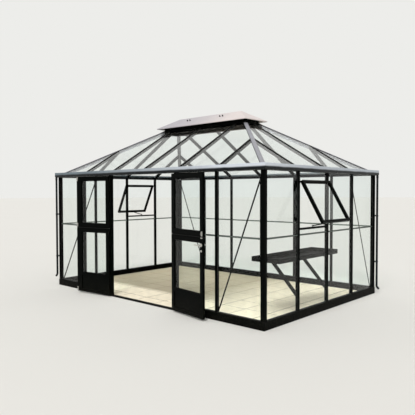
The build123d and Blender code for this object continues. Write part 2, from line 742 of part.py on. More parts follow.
def make_fittings():
    """Bolts of the passive leaf and of the split, the keep below it, and the lever handle."""
    reach = BOLT_H / 2 + BOLT_INSET
    save("left_upper_bolts", [turned("left", bolt("left", z)) for z in (LEAF_TOP - reach, UP_BOTTOM + reach)])
    save("left_lower_bolts", turned("left", bolt("left", LEAF_BOTTOM + reach)))
    save("right_upper_bolts", turned("right", bolt("right", UP_BOTTOM + reach)))
    s = LEAF_W - BOLT_EDGE
    keep = leaf_box("right", s - BOLT_W, s + BOLT_W / 2, LEAF_T, LEAF_T + 2 * BOLT_PLATE,
                    LOW_TOP - 2 * BOLT_INSET, LOW_TOP - BOLT_INSET / 2)
    handles = [lever("right", LEAF_T, 1), lever("right", 0, -1), keep]
    save("right_lower_handles", [turned("right", shape) for shape in handles])


def make_doors():
    """Four leaves in two split doors, opened outward, and their fixed hinge halves."""
    fixed = []
    mid = (LEAF_T - GLASS_T) / 2
    for hand in ("left", "right"):
        free = LEAF_W - FREE_STILE[hand]
        up_void = (UP_BOTTOM + MID_RAIL, LEAF_TOP - TOP_RAIL)
        low_void = (KICK_TOP, LOW_TOP - MID_RAIL)
        kick_void = (LEAF_BOTTOM + KICK_RAIL, KICK_TOP - KICK_RAIL)
        upper = leaf_frame(hand, UP_BOTTOM, LEAF_TOP, [up_void])
        lower = leaf_frame(hand, LEAF_BOTTOM, LOW_TOP, [low_void, kick_void])
        save(f"{hand}_upper_frame", turned(hand, upper))
        save(f"{hand}_lower_frame", turned(hand, lower))
        for name, void in (("upper", up_void), ("lower", low_void)):
            pane = leaf_box(hand, STILE + SEAT, free - SEAT, mid, mid + GLASS_T,
                            void[0] + SEAT, void[1] - SEAT)
            save(f"{hand}_{name}_glass", turned(hand, pane))
        kick = leaf_box(hand, STILE + SEAT, free - SEAT, (LEAF_T - KICK_T) / 2,
                        (LEAF_T + KICK_T) / 2, kick_void[0] + SEAT, kick_void[1] - SEAT)
        save(f"{hand}_kick_panel", turned(hand, kick))
        for low, high in ((UP_BOTTOM, LEAF_TOP), (LEAF_BOTTOM, LOW_TOP)):
            fixed += [jamb_hinge(hand, z) for z in hinge_zs(low, high)]
    save("jamb_hinges", fixed)


os.makedirs("parts", exist_ok=True)
make_base()
make_uprights()
make_wall_glass()
make_eaves()
make_roof()
make_braces()
make_windows()
make_staging()
make_doors()
make_fittings()
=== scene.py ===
"""Finishes and small parts of a glass greenhouse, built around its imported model.

Lengths are metres. X runs along the front, the front faces -Y and Z is up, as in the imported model.
"""
import json
import math

import bmesh
import bpy
import numpy as np
from bpy.props import FloatProperty, FloatVectorProperty, IntProperty, PointerProperty
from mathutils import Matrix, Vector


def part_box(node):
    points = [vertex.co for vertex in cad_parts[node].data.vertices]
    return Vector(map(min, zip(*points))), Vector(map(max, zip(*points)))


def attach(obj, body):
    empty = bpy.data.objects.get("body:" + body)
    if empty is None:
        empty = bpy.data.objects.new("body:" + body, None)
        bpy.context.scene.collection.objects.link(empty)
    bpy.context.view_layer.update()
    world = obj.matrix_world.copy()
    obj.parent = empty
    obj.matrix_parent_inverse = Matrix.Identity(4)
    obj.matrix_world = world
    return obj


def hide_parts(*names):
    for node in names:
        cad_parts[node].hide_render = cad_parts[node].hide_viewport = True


bl_info = {
    "name": "Greenhouse Finisher",
    "version": (1, 0, 0),
    "blender": (4, 5, 0),
    "location": "3D View > Sidebar > Greenhouse",
    "description": "Adds seals, fixings, paving and finishes to a glass greenhouse",
    "category": "Add Mesh",
}

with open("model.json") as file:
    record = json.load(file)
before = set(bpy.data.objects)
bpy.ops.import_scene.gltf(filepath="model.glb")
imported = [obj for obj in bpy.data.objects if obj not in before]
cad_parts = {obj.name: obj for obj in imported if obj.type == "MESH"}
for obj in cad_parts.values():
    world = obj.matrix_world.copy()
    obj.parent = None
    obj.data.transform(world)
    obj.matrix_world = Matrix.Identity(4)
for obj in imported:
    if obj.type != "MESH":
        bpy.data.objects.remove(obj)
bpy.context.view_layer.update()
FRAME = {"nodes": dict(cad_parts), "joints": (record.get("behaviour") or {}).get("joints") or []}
NODES = FRAME["nodes"]
JOINTS = {joint["name"]: joint for joint in FRAME["joints"]}


def box_of(node):
    """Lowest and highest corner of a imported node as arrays."""
    low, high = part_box(node)
    return np.array(low), np.array(high)


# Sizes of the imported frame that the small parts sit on
POST = 0.055
JAMB_W = 0.036
BAR_W = 0.036
BAR_OUT = 0.018
BAR_IN = 0.030
GLASS_OUT = 0.005
ROOF_GLASS_T = 0.0046
RAFTER_W = 0.036
HIP_W = 0.056
CAP_RISE = 0.009
LEAF_T = 0.034
LEAF_GLASS_T = 0.004
STILE = 0.060
FREE_STILE = {"left": 0.105, "right": 0.060}
SIDE_GAP = 0.006
MEET_GAP = 0.007
PLATE_T = 0.0025
GUTTER_OUT = 0.067
NOSE_R = 0.014
LIP_R = 0.004
BASE_OUT = 0.030
PIPE_R = 0.017
PIPE_OFF = 0.050
CLIP_T = 0.003
BRACE_T = 0.004
CLIP_ZS = (0.50895, 1.2441)
HINGE_INSET = 0.150
KNUCKLE_STEP = 0.027
CAP_BOLT = 0.110
CAP_ROD = 0.262
HANDLE_Z = 0.960
TRAY_SKIN = 0.003
SASH_W = 0.032
SASH_T = 0.040
SASH_LAP = 0.016
SASH_SIDE = 0.014
SASH_FACE = 0.020
PEG_OUT = -0.005
WIN_RAIL = 0.022
# Turn of the open sashes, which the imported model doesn't state
SASH_TURN = {"right": 30.0, "left": 26.0}
BAYS = {"front": 6, "right": 4, "back": 6, "left": 4}
# Bays count from 1, and the grid lines between them from 0
DOOR_BAYS = (3, 4)
DOOR_LINES = (2, 3, 4)
WINDOW_BAY = 2

POSTS_LOW, POSTS_HIGH = box_of("corner_posts")
HALF_L = POSTS_HIGH[0] - POST / 2
HALF_W = POSTS_HIGH[1] - POST / 2
BASE_H, EAVE_Z = POSTS_LOW[2], POSTS_HIGH[2]
BAY = 2 * HALF_L / BAYS["front"]
ROOF_LOW, ROOF_HIGH = box_of("roof_glass_front")
PITCH = (ROOF_HIGH[2] - ROOF_LOW[2] - ROOF_GLASS_T) / (ROOF_HIGH[1] - ROOF_LOW[1])
GLASS_LAP = -HALF_W - ROOF_LOW[1]
SEAT_Z = ROOF_LOW[2] + PITCH * GLASS_LAP
CURB_V = HALF_W + ROOF_HIGH[1]
JOINT_LOW, JOINT_HIGH = (box_of("glass_joint_strips")[k][2] for k in (0, 1))
GUTTER_TOP = box_of("eave_gutter_front")[1][2]
LEAF_W = (2 * BAY - JAMB_W - 2 * SIDE_GAP - MEET_GAP) / 2
FLOOR_LOW, FLOOR_HIGH = box_of("floor_slab")
CURB_LOW, CURB_HIGH = box_of("ridge_curb")
CAP_TOP = box_of("ridge_cap")[1][2]
TRAY_LOW, TRAY_HIGH = box_of("staging_tray")
STEP_LOW, STEP_HIGH = box_of("threshold")
RAIL_LOW, RAIL_HIGH = box_of("window_rails")
HEAD_Z = RAIL_HIGH[2] - WIN_RAIL
SILL_Z = RAIL_LOW[2] + WIN_RAIL
SASH_TOP = HEAD_Z + SASH_LAP
SASH_H = HEAD_Z - SILL_Z + 2 * SASH_LAP

# Sizes of the small parts
SCREW_R = 0.004
JAMB_SCREW_R = 0.0045
END_INSET = 0.035
BEAD_BACK = 0.003
SLAB_ARRIS = 0.003
SLAB_UNEVEN = 0.0008
BED_DROP = 0.0035
BED_WAVE = 0.0006
BED_WAVE_PITCH = 0.11
TREAD_PITCH = 0.008
TREAD_H = 0.001
CAP_BOLT_HALF = 0.03
ROD_X = -0.18
ROD_R = 0.004
FLASH_GAP = 0.0003
FLASH_T = 0.0015
FLASH_UP = 0.045
PLUG_WALL = 0.001
COVER_OUT = 0.0015
COVER_IN = -0.001
CLIP_SCREW_OFF = 0.036
SASH_BEAD_BACK = 0.002
PEG_RISE = 0.013
PEG_HALF = 0.003
KNUCKLE_L = 0.05
BARREL_R = 0.005
JAMB_SCREW_OFF = 0.021
LEAF_SCREWS = (0.010, 0.022)
KEY_DROP = 0.075
BRUSH_L = 0.0052
BRUSH_SIDE = 0.006
BRUSH_SINK = 0.001
RIM_OFF = 0.0065
RIM_R = 0.004
RIB_PITCH = 0.125

# Real float glass has 1.5
GLASS_IOR = 1.20

# Camera of the photograph, in the same frame
CAMERA_AT = (5.648, -6.191, 1.623)
CAMERA_TURN = (88.250, 0.113, 42.569)
CAMERA_LENS = 43.32
SENSOR = 36.0

# Studio: turn and width of the key light in degrees, rings of the floor and reach of the camera
KEY_TURN = (42, 0, 24)
KEY_ANGLE = 25
FLOOR_RINGS = (0.0, 4.0, 12.0, 40.0, 150.0)
FLOOR_SPOKES = 48
FLOOR_DROP = 0.001
CLIP_END = 400.0


def linear(code):
    """Turn an sRGB hex colour into linear RGB: the power curve of the sRGB standard, channel by channel."""
    part = np.array([int(code[i:i + 2], 16) for i in (1, 3, 5)]) / 255.0
    out = np.where(part <= 0.04045, part / 12.92, ((part + 0.055) / 1.055) ** 2.4)
    return tuple(float(c) for c in out)


def colour(code, name, text):
    """Colour property with its default given as an sRGB hex colour."""
    return FloatVectorProperty(name=name, description=text, subtype="COLOR", size=3, min=0.0, max=1.0,
                               default=linear(code))


def length(value, least, name, text):
    """Length property in metres."""
    return FloatProperty(name=name, description=text, default=value, min=least, unit="LENGTH")


class FinishSettings(bpy.types.PropertyGroup):
    """Colours of the finishes."""
    frame_coat: colour("#030504", "Frame coat", "Colour of the powder coat on the frame and the doors")
    # Gutter colours are painted light: a sky reflection on the face, a highlight near the front right
    # corner and shade on the lower lip
    gutter_sky_sheen: colour("#67737A", "Gutter sky sheen", "Painted reflection of the sky on the face of the eave gutters")
    gutter_highlight: colour("#CDD3DB", "Gutter highlight", "Colour of that face near the front right corner")
    gutter_shade: colour("#0C1114", "Gutter shade", "Painted shade on the lower lip of the gutters, close to the coat's own black")
    pipe_coat: colour("#10161A", "Pipe coat", "Colour of the downpipes")
    # The hip colour is a painted reflection of the sky on a dark coat
    hip_sky_sheen: colour("#93939B", "Hip sky sheen", "Colour of the bars that cover the four hips")
    # The cap colour is a painted reflection of the sky on a dark coat, with a painted highlight at its
    # right end
    cap_sky_sheen: colour("#ADA9AF", "Cap sky sheen", "Colour of the sheet cap over the ridge vent")
    cap_highlight: colour("#EEE1DA", "Cap highlight", "Colour of that cap at its right end")
    # Dust also paints part of the sky's sheen on faces that look up
    dust: colour("#8C8B84", "Dust", "Colour of the dry dust that settles on faces that look up")
    splash: colour("#5B564A", "Splash", "Colour of the soil that rain throws at the lowest parts")
    glass_tint: colour("#F8FBFA", "Glass tint", "Colour that the body of the glass gives to light")
    steel: colour("#DEDDD8", "Steel", "Colour of the stainless fittings")
    rubber: colour("#131413", "Rubber", "Colour of the glazing seals")
    strip: colour("#6A776F", "Joint strip", "Colour of the strips between two panes")
    stone: colour("#FFF3DA", "Stone", "Main colour of the floor slabs")
    # The vein colour also paints the shadow in the middle of the floor
    vein_and_shadow: colour("#A99E86", "Vein and shadow", "Darker colour in the bedding of the floor slabs")
    mortar: colour("#5A4E39", "Mortar", "Colour of the joints between the floor slabs")


class SizeSettings(bpy.types.PropertyGroup):
    """Sizes of the small parts that a user may change."""
    seal_width: length(0.005, 0.001, "Seal width", "Width of a glazing seal on the glass")
    bead_width: length(0.010, 0.002, "Bead width", "Width of the glazing beads in the doors")
    screw_radius: length(0.006, 0.001, "Screw radius", "Radius of the dome heads on the frame")
    slab: length(0.400, 0.1, "Slab", "Side of a square floor slab with its joint")
    slab_joint: length(0.014, 0.001, "Slab joint", "Width of the joint between floor slabs")
    flashing: length(0.035, 0.01, "Flashing", "Reach of the flashing round the vent curb")
    seed: IntProperty(name="Seed", description="Seed of the small differences between floor slabs",
                      default=7)


class StageSettings(bpy.types.PropertyGroup):
    """Colours and light of the studio."""
    floor: colour("#E4E2DC", "Floor", "Colour of the studio floor")
    backdrop: colour("#EDEDEA", "Backdrop", "Colour of the studio backdrop")
    fill: FloatProperty(name="Fill", description="Strength of the even light from all round",
                        default=0.62, min=0.0)
    key: FloatProperty(name="Key", description="Strength of the soft key light", default=1.9, min=0.0)


# Map Range takes a value, its range and the new range. Mix has its factor at 0 and its colours at 6 and 7
NOISE, RANGE, MIX = "ShaderNodeTexNoise", "ShaderNodeMapRange", "ShaderNodeMix"
MATH, BUMP, COORD = "ShaderNodeMath", "ShaderNodeBump", "ShaderNodeTexCoord"


def add(tree, kind, inputs=(), **settings):
    """Add one node: its own settings by name, then its inputs, each a value or a socket to link.

    Inputs come by name or in order. A colour comes as three numbers.
    """
    node = tree.nodes.new(kind)
    for name, value in settings.items():
        setattr(node, name, value)
    for name, value in inputs.items() if isinstance(inputs, dict) else enumerate(inputs):
        socket = node.inputs[name]
        if isinstance(value, bpy.types.NodeSocket):
            tree.links.new(value, socket)
        else:
            socket.default_value = (*value, 1.0) if socket.type == "RGBA" else value
    return node


def new_material(name):
    """Empty node material and its tree."""
    material = bpy.data.materials.new(name)
    material.use_nodes = True
    material.node_tree.nodes.clear()
    return material, material.node_tree


def powder_coat(name, coat, keep, rough, film, gloss, low=None, bright=None, lit_span=(-2.3, 1.5)):
    """Powder coat on aluminium: sprayed dry and baked, so it has a faint orange peel and a soft sheen.

    Patches 0.4 m wide vary the tone, rain runs 120 mm wide vary the sheen, dust that also stands in for a
    painted sheen of the sky lies on faces that look up and soil is splashed on the lowest 0.3 m. The peel
    is really 1 mm, drawn at 5 mm to show. A bright colour is a painted highlight, strongest at the right
    end of its span and near the front. A low colour is a painted shade on the lower part of the gutters.
    """
    material, tree = new_material(name)
    at = add(tree, COORD).outputs["Object"]
    across, along, height = add(tree, "ShaderNodeSeparateXYZ", [at]).outputs
    runs = add(tree, "ShaderNodeMapping", {"Vector": at, "Scale": (8.0, 8.0, 1.2)}).outputs[0]
    streak = add(tree, NOISE, {"Vector": runs, "Scale": 1.0, "Detail": 3.0}).outputs[0]
    patch = add(tree, NOISE, {"Vector": at, "Scale": 2.5, "Detail": 5.0}).outputs[0]
    patch = add(tree, RANGE, (patch, 0.35, 0.7, 0.0, 0.12 * film)).outputs[0]
    tone = add(tree, MIX, {0: patch, 6: coat, 7: keep.dust}, data_type="RGBA").outputs[2]
    # Painted highlight: the bright colour grows towards the right end and towards the front
    if bright is not None:
        front = add(tree, RANGE, (across, *lit_span)).outputs[0]
        front = add(tree, MATH, (front, 2.0), operation="POWER").outputs[0]
        corner = add(tree, RANGE, (along, -1.45, -0.6, 1.0, 0.65)).outputs[0]
        share = add(tree, MATH, (front, corner), operation="MULTIPLY").outputs[0]
        tone = add(tree, MIX, {0: share, 6: tone, 7: bright}, data_type="RGBA").outputs[2]
    # Painted shade: the low colour darkens the lower lip of the gutters below a wandering edge
    if low is not None:
        wander = add(tree, NOISE, {"Vector": at, "Scale": 5.0, "Detail": 3.0}).outputs[0]
        wander = add(tree, MATH, (wander, 0.012, height), operation="MULTIPLY_ADD").outputs[0]
        edge = add(tree, RANGE, (wander, EAVE_Z + 0.040, EAVE_Z + 0.056)).outputs[0]
        tone = add(tree, MIX, {0: edge, 6: low, 7: tone}, data_type="RGBA").outputs[2]
    # Dust on faces that look up, partly a painted sheen of the sky on them
    normal = add(tree, "ShaderNodeNewGeometry").outputs["Normal"]
    facing = add(tree, "ShaderNodeSeparateXYZ", [normal]).outputs["Z"]
    facing = add(tree, RANGE, (facing, 0.3, 0.95, 0.0, film)).outputs[0]
    dust_and_sheen = add(tree, MATH, (facing, streak), operation="MULTIPLY").outputs[0]
    tone = add(tree, MIX, {0: dust_and_sheen, 6: tone, 7: keep.dust}, data_type="RGBA").outputs[2]
    spots = add(tree, NOISE, {"Vector": at, "Scale": 60.0, "Detail": 6.0}).outputs[0]
    spots = add(tree, RANGE, (spots, 0.45, 0.75)).outputs[0]
    near = add(tree, RANGE, (height, 0.02, 0.32, 0.15, 0.0)).outputs[0]
    thrown = add(tree, MATH, (near, spots), operation="MULTIPLY").outputs[0]
    tone = add(tree, MIX, {0: thrown, 6: tone, 7: keep.splash}, data_type="RGBA").outputs[2]
    sheen = add(tree, RANGE, (streak, 0.3, 0.7, rough - 0.05, rough + 0.07)).outputs[0]
    peel = add(tree, NOISE, {"Vector": at, "Scale": 200.0, "Detail": 1.0}).outputs[0]
    bump = add(tree, BUMP, {"Height": peel, "Strength": 0.05, "Distance": 0.001}).outputs[0]
    shader = add(tree, "ShaderNodeBsdfPrincipled", {"Base Color": tone, "Roughness": sheen, "Normal": bump,
                                                    "Specular IOR Level": gloss})
    add(tree, "ShaderNodeOutputMaterial", [shader.outputs[0]])
    return material


def float_glass(name, tint, film):
    """Float glass: drawn on molten tin, so it is flat and clear, with a slight green body colour.

    Water marks dry into a very thin film, in patches 0.3 m wide with a fine grain. Lamps shine through
    without a caustic, as a Transparent shader for shadow rays. The IOR is below the real 1.5, with which
    what stands behind the panes comes out too grey.
    """
    material, tree = new_material(name)
    at = add(tree, COORD).outputs["Object"]
    patch = add(tree, NOISE, {"Vector": at, "Scale": 3.0, "Detail": 4.0}).outputs[0]
    patch = add(tree, RANGE, (patch, 0.4, 0.75)).outputs[0]
    grain = add(tree, NOISE, {"Vector": at, "Scale": 45.0, "Detail": 3.0}).outputs[0]
    grain = add(tree, RANGE, (grain, 0.35, 0.8, 0.0, 0.035)).outputs[0]
    marks = add(tree, MATH, (patch, grain), operation="MULTIPLY").outputs[0]
    wave = add(tree, NOISE, {"Vector": at, "Scale": 2.0, "Detail": 0.0}).outputs[0]
    bump = add(tree, BUMP, {"Height": wave, "Strength": 0.1, "Distance": 0.002}).outputs[0]
    body = add(tree, "ShaderNodeBsdfPrincipled", {
        "Base Color": tint, "Roughness": 0.0, "IOR": GLASS_IOR,
        "Transmission Weight": 1.0, "Normal": bump})
    dry = add(tree, "ShaderNodeBsdfDiffuse", {"Color": film, "Roughness": 0.5})
    soiled = add(tree, "ShaderNodeMixShader", (marks, body.outputs[0], dry.outputs[0]))
    lamp = add(tree, "ShaderNodeLightPath").outputs["Is Shadow Ray"]
    through = add(tree, "ShaderNodeBsdfTransparent", {"Color": tint})
    shader = add(tree, "ShaderNodeMixShader", (lamp, soiled.outputs[0], through.outputs[0]))
    add(tree, "ShaderNodeOutputMaterial", [shader.outputs[0]])
    return material


def brushed_steel(name, steel):
    """Stainless steel, brushed: a grain 0.5 mm wide, drawn at 3 mm to show, that spreads the highlight.

    Patches 60 mm wide vary the sheen.
    """
    material, tree = new_material(name)
    at = add(tree, COORD).outputs["Object"]
    along = add(tree, "ShaderNodeMapping", {"Vector": at, "Scale": (330.0, 330.0, 12.0)}).outputs[0]
    grain = add(tree, NOISE, {"Vector": along, "Scale": 1.0, "Detail": 2.0}).outputs[0]
    dull = add(tree, MIX, {0: grain, 6: steel, 7: [c * 0.72 for c in steel]}, data_type="RGBA").outputs[2]
    patch = add(tree, NOISE, {"Vector": at, "Scale": 16.0, "Detail": 2.0}).outputs[0]
    sheen = add(tree, RANGE, (patch, 0.0, 1.0, 0.26, 0.46)).outputs[0]
    bump = add(tree, BUMP, {"Height": grain, "Strength": 0.2, "Distance": 0.0004}).outputs[0]
    shader = add(tree, "ShaderNodeBsdfPrincipled", {"Base Color": dull, "Metallic": 1.0, "Roughness": sheen,
                                                    "Normal": bump})
    add(tree, "ShaderNodeOutputMaterial", [shader.outputs[0]])
    return material


def extruded_seal(name, tone, dust, rough, gloss):
    """Rubber or PVC, extruded: a matt or waxy skin with a pale bloom in patches 80 mm long.

    The skin is really 0.5 mm fine, drawn at 2.5 mm to show.
    """
    material, tree = new_material(name)
    at = add(tree, COORD).outputs["Object"]
    bloom = add(tree, NOISE, {"Vector": at, "Scale": 12.0, "Detail": 4.0}).outputs[0]
    bloom = add(tree, RANGE, (bloom, 0.4, 0.8, 0.0, 0.15)).outputs[0]
    tone = add(tree, MIX, {0: bloom, 6: tone, 7: dust}, data_type="RGBA").outputs[2]
    skin = add(tree, NOISE, {"Vector": at, "Scale": 400.0, "Detail": 2.0}).outputs[0]
    bump = add(tree, BUMP, {"Height": skin, "Strength": 0.1, "Distance": 0.0005}).outputs[0]
    shader = add(tree, "ShaderNodeBsdfPrincipled", {"Base Color": tone, "Roughness": rough, "Normal": bump,
                                                    "Specular IOR Level": gloss})
    add(tree, "ShaderNodeOutputMaterial", [shader.outputs[0]])
    return material


def sawn_stone(name, stone, vein_and_shadow, shift):
    """Sandstone, sawn: bedding bands about 170 mm apart, bent by noise, a 2 mm grain and damp patches.

    The patches are 0.5 m wide. Each slab has its own tone from the attribute shade of its mesh, which is
    zero on the mortar. A painted shadow darkens the middle of the room, behind a strip 0.7 m wide inside
    the doorway.
    """
    material, tree = new_material(name)
    at = add(tree, COORD).outputs["Object"]
    own = add(tree, "ShaderNodeAttribute", attribute_name="shade").outputs["Fac"]
    shift_by = add(tree, MATH, (own, 40.0), operation="MULTIPLY").outputs[0]
    moved = add(tree, "ShaderNodeVectorMath", (at, shift_by), operation="ADD").outputs[0]
    bands = add(tree, "ShaderNodeTexWave", {"Vector": moved, "Scale": 2.6, "Distortion": 7.0,
                                            "Detail": 3.0}, bands_direction="DIAGONAL").outputs["Fac"]
    bands = add(tree, RANGE, (bands, 0.0, 1.0, 0.0, 0.10)).outputs[0]
    tone = add(tree, MIX, {0: bands, 6: stone, 7: vein_and_shadow}, data_type="RGBA").outputs[2]
    own = add(tree, RANGE, (own, 0.0, 1.0, 0.0, shift)).outputs[0]
    tone = add(tree, MIX, {0: own, 6: tone, 7: vein_and_shadow}, data_type="RGBA").outputs[2]
    across, along, _ = add(tree, "ShaderNodeSeparateXYZ", [at]).outputs
    # Painted shadow over the middle of the room, behind a strip inside the doorway
    deep = add(tree, RANGE, (along, -0.82, -0.70, 0.0, 1.0)).outputs[0]
    shadow_patch = add(tree, RANGE, (across, 0.2, 1.3, 1.0, 0.0)).outputs[0]
    shadow_patch = add(tree, MATH, (deep, shadow_patch), operation="MULTIPLY").outputs[0]
    tone = add(tree, MIX, {0: shadow_patch, 6: tone, 7: vein_and_shadow}, data_type="RGBA").outputs[2]
    damp = add(tree, NOISE, {"Vector": at, "Scale": 2.0, "Detail": 6.0}).outputs[0]
    damp = add(tree, RANGE, (damp, 0.5, 0.8, 0.0, 0.15)).outputs[0]
    tone = add(tree, MIX, {0: damp, 6: tone, 7: vein_and_shadow}, data_type="RGBA").outputs[2]
    grain = add(tree, NOISE, {"Vector": at, "Scale": 500.0, "Detail": 2.0}).outputs[0]
    flecks = add(tree, RANGE, (grain, 0.55, 0.8, 0.0, 0.25)).outputs[0]
    tone = add(tree, MIX, {0: flecks, 6: tone, 7: vein_and_shadow}, data_type="RGBA").outputs[2]
    wet = add(tree, RANGE, (damp, 0.0, 0.15, 0.86, 0.7)).outputs[0]
    bump = add(tree, BUMP, {"Height": grain, "Strength": 0.35, "Distance": 0.001}).outputs[0]
    shader = add(tree, "ShaderNodeBsdfPrincipled", {"Base Color": tone, "Roughness": wet, "Normal": bump})
    add(tree, "ShaderNodeOutputMaterial", [shader.outputs[0]])
    return material


# The gutter, hip and cap coats carry painted light: reflections of the sky, highlights and shade
SHORT = {"black": "satin black powder coat", "gutter": "gutter coat with painted sky sheen", "pipe": "satin pipe coat",
         "hip": "hip coat with painted sky sheen", "cap": "cap coat with painted sky sheen", "glass": "clear float glass",
         "steel": "brushed stainless steel", "rubber": "extruded seal rubber",
         "strip": "extruded joint strip", "stone": "sawn sandstone",
         "mortar": "rubbed joint mortar"}


def finishes():
    """All materials by short name, made once from the settings."""
    keep = bpy.context.scene.greenhouse_finish
    if SHORT["black"] not in bpy.data.materials:
        powder_coat(SHORT["black"], keep.frame_coat, keep, rough=0.34, film=0.03, gloss=0.02)
        # The gutter, hip and cap coats below are painted sky reflections, with a painted highlight and a
        # painted shade
        powder_coat(SHORT["gutter"], keep.gutter_sky_sheen, keep, rough=0.30, film=0.25, gloss=0.15,
                    low=keep.gutter_shade, bright=keep.gutter_highlight)
        powder_coat(SHORT["pipe"], keep.pipe_coat, keep, rough=0.34, film=0.10, gloss=0.16)
        powder_coat(SHORT["hip"], keep.hip_sky_sheen, keep, rough=0.40, film=0.30, gloss=0.35)
        powder_coat(SHORT["cap"], keep.cap_sky_sheen, keep, rough=0.45, film=0.15, gloss=0.35,
                    bright=keep.cap_highlight, lit_span=(-0.95, 0.6))
        float_glass(SHORT["glass"], keep.glass_tint, keep.dust)
        brushed_steel(SHORT["steel"], keep.steel)
        extruded_seal(SHORT["rubber"], keep.rubber, keep.dust, rough=0.62, gloss=0.25)
        extruded_seal(SHORT["strip"], keep.strip, keep.dust, rough=0.40, gloss=0.35)
        sawn_stone(SHORT["stone"], keep.stone, keep.vein_and_shadow, shift=0.18)
        sawn_stone(SHORT["mortar"], keep.mortar, keep.splash, shift=0.0)
    return {key: bpy.data.materials[name] for key, name in SHORT.items()}


def finish_of(node):
    """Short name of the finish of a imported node, from its name."""
    if node.startswith("eave_gutter"):
        return "gutter"
    if node.startswith("downpipe"):
        return "pipe"
    if node == "hip_bars":
        return "hip"
    if node == "ridge_cap":
        return "cap"
    if node == "floor_slab":
        return "stone"
    if node == "glass_joint_strips":
        return "strip"
    if node.endswith(("bolts", "handles")):
        return "steel"
    if "glass" in node or node == "window_panes":
        return "glass"
    return "black"


# Meshes: every new part is a grid of points, a profile carried along frames or repeated copies of one
def grid_faces(rows, columns, around, along):
    """Quads of a rows by columns grid of points, wrapping over the columns and over the rows if asked."""
    r = np.arange(rows if along else rows - 1)
    c = np.arange(columns if around else columns - 1)
    a, b = np.meshgrid(r, c, indexing="ij")
    up, beside = (a + 1) % rows, (b + 1) % columns
    corners = [a * columns + b, up * columns + b, up * columns + beside, a * columns + beside]
    return np.stack(corners, -1).reshape(-1, 4).tolist()


def carried(profile, frames, closed=False):
    """Closed profile carried along frames: point = origin + u * across + v * up, frame by frame.

    Profile is (n, 2). Frames is (m, 3, 3) with the rows origin, across and up. Open runs get end faces.
    """
    profile, frames = np.asarray(profile, float), np.asarray(frames, float)
    points = (frames[:, None, 0] + profile[None, :, :1] * frames[:, None, 1]
              + profile[None, :, 1:] * frames[:, None, 2])
    rows, columns = len(frames), len(profile)
    faces = grid_faces(rows, columns, True, closed)
    if not closed:
        faces += [list(range(columns)), list(range((rows - 1) * columns, rows * columns))]
    return points.reshape(-1, 3), faces


def loop_frames(corners, normal):
    """Mitred frames at the corners of a closed flat outline.

    Across is the sum of the inward side vectors of both edges over one plus their dot product, so that a
    profile keeps its width along every edge. Up is the normal.
    """
    corners, normal = np.asarray(corners, float), np.asarray(normal, float)
    edge = np.roll(corners, -1, 0) - corners
    edge /= np.linalg.norm(edge, axis=1)[:, None]
    after = np.cross(normal, edge)
    before = np.roll(after, 1, 0)
    centre = corners.mean(0)
    if ((centre - corners[0]) @ after[0]) < 0:
        after, before = -after, -before
    across = (after + before) / (1 + (after * before).sum(1))[:, None]
    return np.stack([corners, across, np.broadcast_to(normal, corners.shape)], 1)


def tube(path, radius, side, segments=10):
    """Round bar along a flat path: u = r cos t, v = r sin t, with u along side, square to its plane."""
    path, side = np.asarray(path, float), np.asarray(side, float)
    run = np.gradient(path, axis=0)
    up = np.cross(run, side)
    up /= np.linalg.norm(up, axis=1)[:, None]
    t = np.arange(segments) * 2 * math.pi / segments
    ring = radius * np.stack([np.cos(t), np.sin(t)], -1)
    return carried(ring, np.stack([path, np.broadcast_to(side, path.shape), up], 1))


def lathe(profile, centre, axis, segments=16, ring=False):
    """Profile of (radius, height) turned about an axis: x = r cos t, y = r sin t, z = h.

    The ends are closed by discs, and a ring's profile is a loop.
    """
    profile, axis = np.asarray(profile, float), np.asarray(axis, float)
    side = np.cross(axis, [0.0, 0.0, 1.0] if abs(axis[2]) < 0.9 else [1.0, 0.0, 0.0])
    side /= np.linalg.norm(side)
    other = np.cross(axis, side)
    t = np.arange(segments) * 2 * math.pi / segments
    circle = np.cos(t)[:, None] * side + np.sin(t)[:, None] * other
    points = np.asarray(centre) + profile[:, None, :1] * circle + profile[:, None, 1:] * axis
    rows = len(profile)
    faces = grid_faces(rows, segments, True, ring)
    if not ring:
        faces += [list(range(segments)), list(range((rows - 1) * segments, rows * segments))]
    return points.reshape(-1, 3), faces


def dome_heads(spots, radius):
    """Dome screw heads with a hex recess, one for each (point, normal) pair.

    One head is rings over the angle t: base, rim and crown are round, and the recess is the hexagon
    r = s / cos(t mod 60 degrees - 30 degrees). Each copy is turned so that its height follows the normal.
    """
    t = np.arange(12) * math.pi / 6
    hexed = 1 / np.cos((t % (math.pi / 3)) - math.pi / 6)
    rings = [(1.0 + 0 * t, -0.10), (1.0 + 0 * t, 0.22), (0.78 + 0 * t, 0.50), (0.42 * hexed, 0.62),
             (0.40 * hexed, 0.26)]
    head = np.concatenate([np.stack([r * np.cos(t), r * np.sin(t), h + 0 * t], -1) for r, h in rings])
    head = head * radius
    faces = grid_faces(len(rings), 12, True, False)
    faces += [list(range(12)), list(range(48, 60))]
    points = np.array([p for p, _ in spots], float)
    normals = np.array([n for _, n in spots], float)
    normals /= np.linalg.norm(normals, axis=1)[:, None]
    helper = np.where(np.abs(normals[:, 2:]) < 0.9, [[0.0, 0.0, 1.0]], [[1.0, 0.0, 0.0]])
    side = np.cross(helper, normals)
    side /= np.linalg.norm(side, axis=1)[:, None]
    other = np.cross(normals, side)
    frames = np.stack([side, other, normals], 1)
    verts = (points[:, None] + np.einsum("vi,kij->kvj", head, frames)).reshape(-1, 3)
    faces = np.array([f + [-1] * (12 - len(f)) for f in faces])
    shift = np.arange(len(points))[:, None, None] * len(head)
    every = np.where(faces[None] >= 0, faces[None] + shift, -1).reshape(-1, 12)
    return verts, [[i for i in face if i >= 0] for face in every.tolist()]


